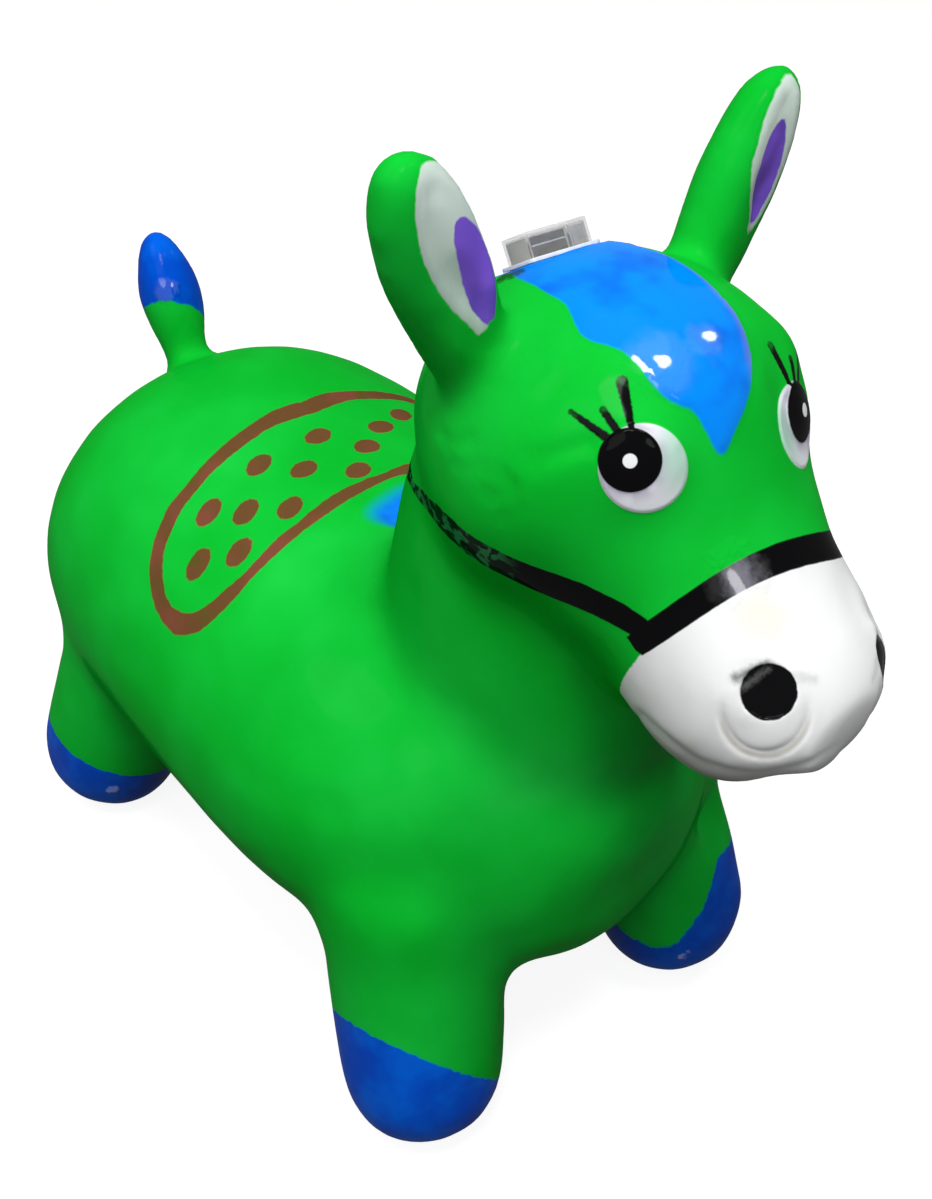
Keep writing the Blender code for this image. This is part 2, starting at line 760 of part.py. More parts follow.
def make_batteries(seat):
    """Three button cells on edge in a trough, between a flat contact and a sprung leaf."""
    hold = add_empty("battery_place", seat)
    holder = add_object("battery_holder", mesh_data("battery_holder", block(
        holder_inner_length + 2 * holder_wall, holder_inner_width + 2 * holder_wall,
        holder_low, holder_low + holder_height)), hold, paint("holder_grey", (0.07, 0.07, 0.075), 0.5))
    room = block(holder_inner_length, holder_inner_width, holder_floor, holder_low + holder_height + overrun)
    combine(holder, add_object("holder_room", mesh_data("holder_room", room), hold), "DIFFERENCE")
    radius = cell_width / 2
    half = cell_thickness / 2
    profile = [
        (0, half), (radius - cell_rim * 2, half), (radius - cell_rim * 2, half - cell_rim / 2),
        (radius - cell_rim, half - cell_rim / 2), (radius, half - cell_rim), (radius, -half), (0, -half),
    ]
    cell_mesh = mesh_data("button_cell", turned(profile, round_sides))
    cell_steel = paint("cell_steel", (0.72, 0.72, 0.7), 0.25, 1.0)
    first = -holder_inner_length / 2 + 2 * fit_gap + contact_thickness + leaf_bend + half
    for index in range(cell_count):
        cell = add_object(f"button_cell_{index + 1}", cell_mesh, hold, cell_steel)
        cell.location = (first + index * (cell_thickness + fit_gap), 0, cell_centre)
        cell.rotation_euler = (0, -math.pi / 2, 0)
        smooth_shading(cell)
    spring_steel = paint("contact_steel", (0.8, 0.78, 0.72), 0.3, 1.0)
    low = holder_floor + fit_gap
    plate = block(contact_thickness, contact_width, low, low + contact_height)
    contact = add_object("contact_plate", mesh_data("contact_plate", plate), hold, spring_steel)
    contact.location = (holder_inner_length / 2 - fit_gap - contact_thickness / 2, 0, 0)
    leaf = add_object("contact_leaf", mesh_data("contact_leaf", bent_leaf(low)), hold, spring_steel)
    leaf.location = (-holder_inner_length / 2 + fit_gap, 0, 0)


def bent_leaf(low):
    """A strip that bows out from the holder's wall towards the cell."""
    steps = 8
    mesh = bmesh.new()
    rings = []
    for step in range(steps + 1):
        share = step / steps
        bow = leaf_bend * math.sin(math.pi * share)
        height = low + contact_height * share
        rings.append([mesh.verts.new((bow + x, y * contact_width / 2, height))
                      for x, y in ((0, -1), (contact_thickness, -1), (contact_thickness, 1), (0, 1))])
    mesh.faces.new(reversed(rings[0]))
    mesh.faces.new(rings[-1])
    for lower, upper in zip(rings, rings[1:]):
        for k in range(4):
            m = (k + 1) % 4
            mesh.faces.new((lower[k], lower[m], upper[m], upper[k]))
    return mesh


def make_lamps(seat):
    """Three domed lamps on two legs each, at the ends of the battery holder."""
    radius = led_width / 2
    base = board_top + fit_gap + led_leg_height
    dome = base + led_height - radius
    profile = [(radius * math.sin(turn), dome + radius * math.cos(turn))
               for turn in (math.pi / 2 * k / led_dome_steps for k in range(led_dome_steps + 1))]
    profile[0] = (0, dome + radius)
    profile += [(radius, base + led_rim_height), (led_rim_width / 2, base + led_rim_height),
                (led_rim_width / 2, base), (0, base)]
    lamp_mesh = mesh_data("lamp", turned(profile, small_sides))
    end_place = (holder_inner_length / 2 + holder_wall + tub_inner_length / 2 - fit_gap) / 2
    beside = led_rim_width / 2 + fit_gap
    lamps = (
        ("led_red", (0.8, 0.12, 0.1), (-end_place, -beside)),
        ("led_green", (0.15, 0.75, 0.2), (-end_place, beside)),
        ("led_blue", (0.1, 0.25, 0.85), (end_place, 0)),
    )
    for name, colour, place in lamps:
        lamp = add_object(name, lamp_mesh.copy(), seat, paint(name + "_resin", colour, 0.15))
        lamp.location = (*place, 0)
        for side in (-1, 1):
            leg = block(led_leg_width, led_leg_width, board_top + fit_gap, base + led_rim_height / 2)
            form = add_object(f"{name}_leg_{side + 1}", mesh_data("lamp_leg", leg), seat)
            form.location = (place[0], place[1] + side * led_leg_pitch / 2, 0)
            combine(lamp, form, "UNION")
        smooth_shading(lamp)


speaker_low = tub_floor + fit_gap
speaker_top = speaker_low + speaker_height


def make_speaker(seat):
    """A small speaker face down on the grille: a turned basket with its cone in it, and two leads."""
    radius = speaker_width / 2
    step = speaker_low + speaker_height / 3
    ceiling = speaker_low + cone_thickness + cone_depth
    profile = [
        (0, speaker_top), (radius / 2, speaker_top), (radius - speaker_rim, step), (radius, step),
        (radius, speaker_low), (radius - speaker_rim, speaker_low),
        (radius - speaker_rim, speaker_low + cone_thickness), (radius / 3, ceiling), (0, ceiling),
    ]
    basket = add_object("speaker_basket", mesh_data("speaker_basket", turned(profile)), seat,
                        paint("speaker_steel", (0.5, 0.5, 0.5), 0.4, 1.0))
    smooth_shading(basket)
    reach = radius - speaker_rim - fit_gap
    inner = reach * cone_depth / (cone_depth + cone_thickness)
    profile = [(0, speaker_low + cone_depth), (radius / 3, speaker_low + cone_depth), (reach, speaker_low),
               (inner, speaker_low - fit_gap / 2), (radius / 3, speaker_low + cone_depth - cone_thickness),
               (0, speaker_low + cone_depth - cone_thickness)]
    cone = add_object("speaker_cone", mesh_data("speaker_cone", turned(profile)), seat,
                      paint("cone_film", (0.2, 0.2, 0.22), 0.5))
    smooth_shading(cone)
    copper = paint("wire_red", (0.6, 0.05, 0.04), 0.45)
    rise = board_low - speaker_top
    for index, hand in enumerate((-1, 1)):
        start = Vector((hand * wire_pitch / 2, wire_set_back, speaker_top + fit_gap))
        end = start + Vector((hand * wire_spread, 0, rise - 2 * fit_gap))
        lift = Vector((0, 0, rise / 4))
        route = [start, start + lift, start.lerp(end, 0.5), end - lift, end]
        points = fair_rows([tuple(place) for place in route], wire_points)
        add_object(f"speaker_wire_{index + 1}", tube("speaker_wire", points, wire_width, 2), seat, copper)


def make_trembler(seat):
    """The bounce switch: a spring that swings round a pin, between the board and the speaker's end."""
    hold = add_empty("trembler_place", seat, (under_board_place, 0, board_low - fit_gap - trembler_width / 2))
    radius = (trembler_width - trembler_wire) / 2
    length = trembler_pitch * trembler_turns
    per_turn = 10
    points = []
    for step in range(trembler_turns * per_turn + 1):
        turn = 2 * math.pi * step / per_turn
        points.append(Vector((radius * math.cos(turn), length * (step / (trembler_turns * per_turn) - 0.5),
                              radius * math.sin(turn))))
    gap = least_gap(points, per_turn) - trembler_wire
    print(f"trembler spring: {trembler_turns} turns, least gap {gap / MM:.2f} mm")
    steel = paint("spring_steel", (0.66, 0.64, 0.6), 0.3, 1.0)
    add_object("trembler_spring", tube("trembler_spring", points, trembler_wire, 1), hold, steel)
    rod = pin(trembler_pin_width / 2, -length / 2, length / 2, small_sides // 2)
    rod.transform(Matrix.Rotation(math.pi / 2, 4, "X"))
    add_object("trembler_pin", mesh_data("trembler_pin", rod), hold, steel)


def least_gap(points, per_turn):
    """Least distance between points of a coil that are at least half a turn apart."""
    apart = per_turn // 2
    pairs = ((here, there) for index, here in enumerate(points) for there in points[index + apart:])
    return min((here - there).length for here, there in pairs)


def valve_frame(tree):
    """Where the valve sits: on the belly's lowest line, facing straight down."""
    place, _ = touch(tree, Vector((0, valve_place, -trunk_depth)), Vector((0, 0, 1)))
    return Matrix.Translation(place) @ Matrix.Rotation(math.pi, 4, "X")


def cut_valve(skin, cavity, frame):
    """A recess for the plug's head and a thick boss behind it."""
    boss = pin(valve_boss_width / 2, -valve_boss_depth, plug_head_height, round_sides)
    combine_skin(cavity, tool_at("valve_boss", boss, frame), "DIFFERENCE")
    radius = plug_head_width / 2 + fit_gap

    def recess(wall):
        return pin(radius + wall, -plug_head_height / 2 - wall, plug_head_height * 2 + wall, round_sides)

    combine_both(skin, cavity, "plug_recess", recess, frame, "DIFFERENCE")


def bore_valve(skin, frame):
    bore = pin(valve_bore / 2, -valve_boss_depth - skin_wall - overrun, overrun, round_sides)
    combine_skin(skin, tool_at("valve_bore", bore, frame), "DIFFERENCE")


def make_plug(parent, frame):
    """The stopper: a broad head, a stem with one rib, and a grip across the head."""
    seat = -plug_head_height / 2 + fit_gap
    head = seat + plug_head_height
    stem = plug_stem_width / 2
    rib = plug_rib_width / 2
    rib_low = seat - plug_length * plug_rib_place_share
    profile = [
        (0, head), (plug_head_width / 2 - plug_head_height / 2, head),
        (plug_head_width / 2, seat + plug_head_height / 2), (plug_head_width / 2, seat), (stem, seat),
        (stem, rib_low + plug_rib_height), (rib, rib_low + plug_rib_height / 2), (stem, rib_low),
        (stem * plug_tip_share, seat - plug_length), (0, seat - plug_length),
    ]
    place = add_empty("valve_axis", parent)
    place.matrix_local = frame
    plug = add_object("valve_plug", mesh_data("valve_plug", turned(profile)), place,
                      paint("plug_white", (0.85, 0.85, 0.83), 0.45))
    grip = block(plug_head_width * plug_grip_share, plug_grip_width, head - plug_head_height / 2,
                 head + plug_grip_height, plug_grip_width / 3)
    combine(plug, add_object("plug_grip", mesh_data("plug_grip", grip), place), "UNION")
    smooth_shading(plug)


def centre_of(mesh):
    ys = [v.co.y for v in mesh.vertices]
    return (min(ys) + max(ys)) / 2


def main():
    clear_scene()
    whole = add_empty("whole_animal")
    form = animal_form()
    outer = thinned(form, "outer_form", outer_faces)
    inner = thinned(form, "inner_form", inner_faces, skin_wall)
    tree = BVHTree.FromPolygons([v.co for v in outer.vertices], [p.vertices for p in outer.polygons])
    keep_wall(inner, tree)
    lowest = min(v.co.z for v in outer.vertices)
    middle = centre_of(outer)
    skin = add_object("skin", outer, None, paint("green_skin", (0.03, 0.62, 0.06), 0.35))
    cavity = guide(add_object("cavity", inner))

    add_face_relief(skin, cavity, tree)
    crown = seat_frame(tree)
    cut_pocket(skin, cavity, crown)
    belly = valve_frame(tree)
    cut_valve(skin, cavity, belly)
    cut_soles(skin, cavity, lowest)
    combine_skin(skin, cavity, "DIFFERENCE")
    bore_valve(skin, belly)
    smooth_shading(skin)

    seat = add_empty("crown_seat", whole)
    seat.matrix_local = crown
    make_tray(seat)
    make_cover(seat)
    make_board(seat)
    make_batteries(seat)
    make_lamps(seat)
    make_speaker(seat)
    make_trembler(seat)
    make_plug(whole, belly)

    for obj in bpy.data.objects:
        if obj.parent is None and obj is not whole:
            obj.parent = whole
    whole.location = (0, -middle, -lowest - sole_depth)
    print(f"moved by {-middle / MM:.2f} mm along Y and {(-lowest - sole_depth) / MM:.2f} mm along Z")


main()
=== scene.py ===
import functools
import math

import bmesh
import bpy
import numpy as np
from mathutils import Matrix, Vector, noise
from mathutils.bvhtree import BVHTree


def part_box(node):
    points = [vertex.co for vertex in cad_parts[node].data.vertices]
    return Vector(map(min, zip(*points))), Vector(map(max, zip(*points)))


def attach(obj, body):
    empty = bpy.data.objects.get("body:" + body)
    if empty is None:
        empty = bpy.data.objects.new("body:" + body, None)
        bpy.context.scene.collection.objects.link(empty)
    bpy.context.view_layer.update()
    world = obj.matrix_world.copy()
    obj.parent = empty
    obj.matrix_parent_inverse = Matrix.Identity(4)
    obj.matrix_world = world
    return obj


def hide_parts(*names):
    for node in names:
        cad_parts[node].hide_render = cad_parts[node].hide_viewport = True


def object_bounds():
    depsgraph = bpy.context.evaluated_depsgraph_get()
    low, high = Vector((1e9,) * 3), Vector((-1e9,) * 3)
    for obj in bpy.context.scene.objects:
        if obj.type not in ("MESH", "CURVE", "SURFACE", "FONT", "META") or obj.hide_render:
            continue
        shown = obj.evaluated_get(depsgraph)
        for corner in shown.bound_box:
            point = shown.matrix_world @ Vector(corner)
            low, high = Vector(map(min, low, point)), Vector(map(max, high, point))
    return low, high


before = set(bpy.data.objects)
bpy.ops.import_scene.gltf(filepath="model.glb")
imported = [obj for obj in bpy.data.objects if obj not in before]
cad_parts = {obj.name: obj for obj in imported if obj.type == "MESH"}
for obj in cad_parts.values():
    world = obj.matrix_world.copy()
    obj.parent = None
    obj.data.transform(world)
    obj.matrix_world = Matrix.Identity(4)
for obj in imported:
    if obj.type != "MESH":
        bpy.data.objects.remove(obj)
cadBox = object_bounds()
mm = 0.001
mergeReach = 0.002 * mm  # joins the corners of the CAD's triangles
farOff = 50 * mm         # a distance that lies past every painted edge


def addObject(name, data):
    made = bpy.data.objects.new(name, data)
    bpy.context.scene.collection.objects.link(made)
    return made


def meshOf(name, verts, faces=()):
    mesh = bpy.data.meshes.new(name)
    mesh.from_pydata([tuple(vert) for vert in verts], [], faces)
    return mesh


def fromBmesh(name, work):
    mesh = bpy.data.meshes.new(name)
    work.to_mesh(mesh)
    work.free()
    return mesh


def evaluated(holder):
    # the holder's mesh after its modifiers; the holder goes
    done = bpy.data.meshes.new_from_object(holder.evaluated_get(bpy.context.evaluated_depsgraph_get()))
    bpy.data.objects.remove(holder)
    return done


def changed(mesh, kind, **settings):
    # the mesh after one modifier
    holder = addObject("holder", mesh)
    change = holder.modifiers.new("change", kind)
    for key, item in settings.items():
        setattr(change, key, item)
    return evaluated(holder)


def placesOf(mesh):
    places = np.empty(len(mesh.vertices) * 3)
    mesh.vertices.foreach_get("co", places)
    return places.reshape(-1, 3)


def setPlaces(mesh, places):
    mesh.vertices.foreach_set("co", np.ascontiguousarray(places, float).ravel())
    mesh.update()


def middleOf(node):
    low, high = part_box(node)
    return (np.array(low) + np.array(high)) / 2


# The photograph's viewing angle, and the frame that its pixel places are given in
photoView = {
    "frame": (932, 1199),
    "focalPixels": 1500.0,
    "azimuth": -44.3,
    "elevation": 38.3,
    "roll": 6.8,
    "place": (-0.4136, -0.46297, 0.69734),
    "filmWidth": 36.0,
}


def viewAxes():
    turn, lift, lean = (math.radians(photoView[key]) for key in ("azimuth", "elevation", "roll"))
    back = Vector((math.sin(turn) * math.cos(lift), -math.cos(turn) * math.cos(lift), math.sin(lift)))
    right = (-back).cross(Vector((0, 0, 1))).normalized()
    up = right.cross(-back)
    c, s = math.cos(lean), math.sin(lean)
    return right * c + up * s, up * c - right * s, back


def makeCamera():
    right, up, back = viewAxes()
    camera = addObject("photoCamera", bpy.data.cameras.new("photoCamera"))
    camera.data.sensor_fit = "HORIZONTAL"
    camera.data.sensor_width = photoView["filmWidth"]
    camera.data.lens = photoView["focalPixels"] * photoView["filmWidth"] / photoView["frame"][0]
    camera.data.clip_start = 10 * mm
    place = Matrix((right, up, back)).transposed().to_4x4()
    place.translation = Vector(photoView["place"])
    camera.matrix_world = place
    bpy.context.scene.camera = camera


def toPhoto(points):
    right, up, back = (np.array(axis) for axis in viewAxes())
    width, height = photoView["frame"]
    away = np.asarray(points) - np.array(photoView["place"])
    depth = -(away @ back)
    u = width / 2 + photoView["focalPixels"] * (away @ right) / depth
    v = height / 2 - photoView["focalPixels"] * (away @ up) / depth
    return np.stack([u, v], -1), depth


def photoRay(u, v):
    right, up, back = viewAxes()
    width, height = photoView["frame"]
    reach = photoView["focalPixels"]
    return (right * (u - width / 2) - up * (v - height / 2) - back * reach).normalized()


makeCamera()
print("camera placed")


def maths(kind, turned=False):
    # a method of Value that adds one maths node
    def method(self, *others):
        items = (*others, self) if turned else (self, *others)
        return self.finish.node("ShaderNodeMath", {"operation": kind}, dict(enumerate(items)))
    return method


class Value:
    # a node's output, with the operators that this script uses
    def __init__(self, finish, socket):
        self.finish, self.socket = finish, socket

    __add__ = __radd__ = maths("ADD")
    __sub__ = maths("SUBTRACT")
    __rsub__ = maths("SUBTRACT", turned=True)
    __mul__ = maths("MULTIPLY")
    __truediv__ = maths("DIVIDE")
    low = maths("MINIMUM")
    high = maths("MAXIMUM")
    size = maths("ABSOLUTE")

    def step(self, start, end):
        # 0 before start, 1 after end, and the other way round where start is the larger
        rising = start < end
        return self.finish.node("ShaderNodeMapRange", {"interpolation_type": "SMOOTHSTEP"}, {
            "Value": self, "From Min": min(start, end), "From Max": max(start, end),
            "To Min": 0.0 if rising else 1.0, "To Max": 1.0 if rising else 0.0,
        })


def feed(socket, item):
    source = item.socket if isinstance(item, Value) else item
    if isinstance(source, bpy.types.NodeSocket):
        socket.id_data.links.new(source, socket)
    else:
        socket.default_value = source


def addNode(tree, kind, settings=None, inputs=None):
    made = tree.nodes.new(kind)
    for key, item in (settings or {}).items():
        setattr(made, key, item)
    for key, item in (inputs or {}).items():
        feed(made.inputs[key], item)
    return made


class Finish:
    # the nodes of a material or of the world
    def __init__(self, owner, shader="Principled BSDF"):
        owner.use_nodes = True
        self.owner, self.tree = owner, owner.node_tree
        self.shader = self.tree.nodes[shader]

    @functools.cached_property
    def objectPlace(self):
        return self.node("ShaderNodeTexCoord", out="Object")

    def node(self, kind, settings=None, inputs=None, out=0):
        return Value(self, addNode(self.tree, kind, settings, inputs).outputs[out])

    def set(self, **sockets):
        for name, item in sockets.items():
            feed(self.shader.inputs[name.replace("_", " ")], item)

    def grain(self, scale, detail=2.0, rough=0.5, at=None, twist=0.0):
        return self.node("ShaderNodeTexNoise", {}, {
            "Vector": at or self.objectPlace, "Scale": scale, "Detail": detail, "Roughness": rough,
            "Distortion": twist,
        }, "Fac")

    def ragged(self, scale, detail, spread, rough=0.5):
        # noise to either side of nothing, which makes an edge wander
        return (self.grain(scale, detail, rough) - 0.5) * spread

    def stretched(self, scale, turn=(0, 0, 0)):
        return self.node("ShaderNodeMapping", {}, {
            "Vector": self.objectPlace, "Scale": scale, "Rotation": turn,
        })

    def mix(self, share, first, second):
        first, second = (item if isinstance(item, Value) else (*item, 1.0) for item in (first, second))
        return self.node("ShaderNodeMix", {"data_type": "RGBA"}, {0: share, 6: first, 7: second}, 2)

    def clouded(self, first, second, scale, detail, span, rough=0.5, share=1.0):
        return self.mix(self.grain(scale, detail, rough).step(*span) * share, first, second)

    def attribute(self, name, out="Fac"):
        return self.node("ShaderNodeAttribute", {"attribute_name": name}, {}, out)

    def axis(self, name, place=None):
        return self.node("ShaderNodeSeparateXYZ", {}, {0: place or self.objectPlace}, name)

    def vector(self, kind, first, second, out="Value"):
        return self.node("ShaderNodeVectorMath", {"operation": kind}, {0: first, 1: second}, out)

    def bump(self, height, depth, strength=1.0, under=None):
        inputs = {"Height": height, "Distance": depth, "Strength": strength}
        if under:
            inputs["Normal"] = under
        return self.node("ShaderNodeBump", {}, inputs)


def newFinish(name):
    return Finish(bpy.data.materials.new(name))


def srgb(*levels):
    parts = (level / 255 for level in levels)
    return tuple(((part + 0.055) / 1.055) ** 2.4 if part > 0.04 else part / 12.92 for part in parts)


# Studio: a pale floor that keeps the shadow, a white surround and seven soft lamps
studio = {
    "floorHalf": 4.0,
    "floorColour": srgb(124, 124, 124),
    "floorBounce": srgb(78, 78, 78),  # what it gives back to the object
    "floorRough": 0.9,
    "floorGlow": 0.90,
    "surroundLight": 0.04,
    "lamps": (  # place, aimed at, size, watts
        ((-0.2, 0.1, 2.4), (0.0, 0.0, 0.2), 2.0, 6.0),
        ((0.33, -0.61, 2.5), (0.0, -0.1, 0.4), 0.4, 10.0),
        ((1.4, -0.26, 1.85), (0.0, -0.1, 0.4), 0.2, 2.0),
        ((-0.36, -1.45, 1.63), (0.0, -0.2, 0.36), 0.36, 3.0),
        ((-1.35, -0.55, 1.75), (0.0, 0.0, 0.25), 1.1, 11.0),
        ((-0.7, -0.5, 2.4), (0.0, -0.1, 0.3), 0.6, 25.0),
        ((-1.2, 0.6, 1.9), (0.0, 0.0, 0.25), 0.9, 10.0),
    ),
}


def rayKind(finish, name):
    return finish.node("ShaderNodeLightPath", out=f"Is {name} Ray")


def seen(finish):
    # 1 for what the camera sees, straight, in a reflection or through the clear cover
    return rayKind(finish, "Camera").high(rayKind(finish, "Glossy")).high(rayKind(finish, "Transmission"))


def makeStudio():
    half = studio["floorHalf"]
    corners = [(-half, -half, 0), (half, -half, 0), (half, half, 0), (-half, half, 0)]
    floor = addObject("floor", meshOf("floor", corners, [(0, 1, 2, 3)]))
    paper = newFinish("palePaperFloor")
    paper.set(Base_Color=paper.mix(rayKind(paper, "Diffuse"), studio["floorColour"], studio["floorBounce"]),
              Roughness=studio["floorRough"], Emission_Color=paper.mix(seen(paper), (0, 0, 0), (1, 1, 1)),
              Emission_Strength=studio["floorGlow"])
    floor.data.materials.append(paper.owner)

    bpy.context.scene.world = bpy.data.worlds.new("paleSurround")
    surround = Finish(bpy.context.scene.world, "Background")
    dim = studio["surroundLight"]
    surround.set(Color=(1, 1, 1, 1), Strength=seen(surround) * (1 - dim) + dim)

    for number, (place, target, size, watts) in enumerate(studio["lamps"]):
        name = f"softBox{number + 1}"
        lamp = addObject(name, bpy.data.lights.new(name, "AREA"))
        lamp.data.shape, lamp.data.size, lamp.data.energy = "DISK", size, watts
        aim = Vector(target) - Vector(place)
        lamp.matrix_world = Matrix.Translation(place) @ aim.to_track_quat("-Z", "Y").to_matrix().to_4x4()
    bpy.context.scene.view_settings.view_transform = "Standard"


makeStudio()
print("studio ready")


def fromEdge(points, start, edge):
    # how far flat points are from an edge
    share = np.clip(((points - start) @ edge) / max(edge @ edge, 1e-18), 0, 1)
    return np.linalg.norm(points - start - share[:, None] * edge, axis=1)


def outline(points, loop):
    # signed distance of flat points to a closed outline, negative inside
    points, loop = np.asarray(points, float), np.asarray(loop, float)
    nearest = np.full(len(points), np.inf)
    inside = np.zeros(len(points), bool)
    for start, end in zip(loop, np.roll(loop, -1, 0)):
        edge = end - start
        nearest = np.minimum(nearest, fromEdge(points, start, edge))
        crosses = (start[1] > points[:, 1]) != (end[1] > points[:, 1])
        climb = edge[1] if abs(edge[1]) > 1e-15 else 1e-15
        inside ^= crosses & (points[:, 0] < start[0] + (points[:, 1] - start[1]) / climb * edge[0])
    return np.where(inside, -nearest, nearest)


def trail(points, line):
    # distance of flat points to an open line
    line = np.asarray(line, float)
    return np.min([fromEdge(points, start, end - start) for start, end in zip(line, line[1:])], axis=0)


def smoothLoop(loop, cuts=4, closed=True):
    # a rounded line through the points
    loop = np.asarray(loop, float)
    size = len(loop)
    made = []
    for place in range(size if closed else size - 1):
        before, start, end, after = (
            loop[(place + step) % size if closed else min(max(place + step, 0), size - 1)]
            for step in (-1, 0, 1, 2))
        bend = 2 * before - 5 * start + 4 * end - after
        twist = 3 * start - before - 3 * end + after
        for s in np.arange(cuts) / cuts:
            made.append(0.5 * (2 * start + (end - before) * s + bend * s ** 2 + twist * s ** 3))
    if not closed:
        made.append(loop[-1])
    return np.array(made)


def rise(distance, start, end):
    share = np.clip((distance - start) / (end - start), 0, 1)
    return share * share * (3 - 2 * share)


def bell(distance, width):
    return np.exp(-(distance / width) ** 2)


# The skin: the CAD shell's outer surface, made even and then formed
skinForm = {
    "grid": 3.5 * mm,             # quad size after the remesh
    "evenRounds": 160,            # rounds that take the CAD's facets away
    "closeRounds": 24,            # the same for the finer faces round eyes, nostrils and mouth
    "closeReach": (34 * mm, 46 * mm),  # where those rounds start to fade, and where they end
    "pull": (0.5, -0.52),         # each round draws points together and then apart, so nothing shrinks
    "middlePixel": (520, 560),
    "edgeSearch": 16,             # pixels that a place just past the outline may move in to meet it
    "bore": (13.2 * mm, 76 * mm),  # the CAD's bore, out to this radius and up to this height, is closed
    "pocketHalf": (21.5 * mm, 13.0 * mm),  # the CAD's pocket is closed too
    "pocketRise": (-22 * mm, 12 * mm),
}
boxTilt = math.radians(36.0)
boxUp = np.array([0.0, math.sin(boxTilt), math.cos(boxTilt)])
boxBack = np.array([0.0, math.cos(boxTilt), -math.sin(boxTilt)])
seatAt, plugAt = middleOf("module_tray"), middleOf("valve_plug")


def fromSeat(points):
    # how far places lie across, back and up from the middle of the box's tray
    local = points - seatAt
    return local[:, 0], local @ boxBack, local @ boxUp


def intoSeat(points):
    points = np.asarray(points, float)
    return seatAt + points[:, :1] * (1, 0, 0) + points[:, 1:2] * boxBack + points[:, 2:] * boxUp


def faceGroups(work):
    # the faces that hang together, fewest first
    work.faces.index_update()
    groups, met = [], set()
    for face in work.faces:
        if face.index in met:
            continue
        met.add(face.index)
        group = [face]
        for now in group:  # the group grows while this walks along it
            for other in (other for edge in now.edges for other in edge.link_faces):
                if other.index not in met:
                    met.add(other.index)
                    group.append(other)
        groups.append(group)
    return sorted(groups, key=len)


def outerShell():
    # the CAD's skin without its cavity, its bore and the box's pocket
    work = bmesh.new()
    work.from_mesh(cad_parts["skin"].data)
    bmesh.ops.remove_doubles(work, verts=work.verts, dist=mergeReach)
    places = np.array([vert.co for vert in work.verts])
    across, back, high = fromSeat(places)
    low, top = skinForm["pocketRise"]
    radius, height = skinForm["bore"]
    atPocket = ((np.abs(across) < skinForm["pocketHalf"][0]) & (np.abs(back) < skinForm["pocketHalf"][1])
                & (high > low) & (high < top))
    atBore = (np.hypot(*(places - plugAt)[:, :2].T) < radius) & (places[:, 2] < height)
    gone = [vert for vert, out in zip(work.verts, atPocket | atBore) if out]
    bmesh.ops.delete(work, geom=gone, context="VERTS")
    inner = [face for group in faceGroups(work)[:-1] for face in group]  # the outer wall has the most faces
    bmesh.ops.delete(work, geom=inner, context="FACES")
    bmesh.ops.delete(work, geom=[vert for vert in work.verts if not vert.link_faces], context="VERTS")
    bmesh.ops.holes_fill(work, edges=[edge for edge in work.edges if edge.is_boundary], sides=0)
    bmesh.ops.triangulate(work, faces=work.faces)
    bmesh.ops.recalc_face_normals(work, faces=work.faces)
    openEdges = sum(not edge.is_manifold for edge in work.edges)
    print("outer shell:", len(work.faces), "faces,", openEdges, "open edges")
    return fromBmesh("outerShell", work)


def evened(mesh, rounds, share=1.0):
    # low-pass smoothing that doesn't shrink the form
    ends = np.empty(len(mesh.edges) * 2, int)
    mesh.edges.foreach_get("vertices", ends)
    ends = ends.reshape(-1, 2)
    both = np.concatenate([ends, ends[:, ::-1]])
    both = both[np.argsort(both[:, 0], kind="stable")]
    count = np.bincount(both[:, 0], minlength=len(mesh.vertices))
    first = np.concatenate([[0], np.cumsum(count)[:-1]])
    neighbours = np.repeat(np.arange(len(count))[:, None], count.max(), 1)
    neighbours[both[:, 0], np.arange(len(both)) - first[both[:, 0]]] = both[:, 1]
    spare = (count.max() - count)[:, None]  # places in a row that hold the point itself
    places = placesOf(mesh)
    for _ in range(rounds):
        for pull in skinForm["pull"]:
            mean = (places[neighbours].sum(1) - places * spare) / count[:, None]
            places += pull * share * (mean - places)
    return places


def mirrored(points):
    # every point on the animal's right side, the one that the photograph shows
    points = np.asarray(points, float)
    return points * np.where(points[:, :1] > 0, (-1, 1, 1), (1, 1, 1))


def onSkin(pixels):
    # where the photograph's pixels meet the skin
    found = []
    for pixel in pixels:
        inward = (Vector(skinForm["middlePixel"]) - Vector(pixel)).normalized()
        for run in range(skinForm["edgeSearch"]):
            ray = photoRay(pixel[0] + inward.x * run, pixel[1] + inward.y * run)
            hit = skinSurface.ray_cast(Vector(photoView["place"]), ray)[0]
            if hit is not None:
                break
        else:
            raise ValueError(f"pixel {pixel} misses the skin")
        found.append(hit)
    return np.array(found)


skinMesh = changed(outerShell(), "REMESH", mode="VOXEL", voxel_size=skinForm["grid"])
setPlaces(skinMesh, evened(skinMesh, skinForm["evenRounds"]))
surfaceWork = bmesh.new()
surfaceWork.from_mesh(skinMesh)
skinSurface = BVHTree.FromBMesh(surfaceWork)
surfaceWork.free()
print("skin evened:", len(skinMesh.polygons), "faces")

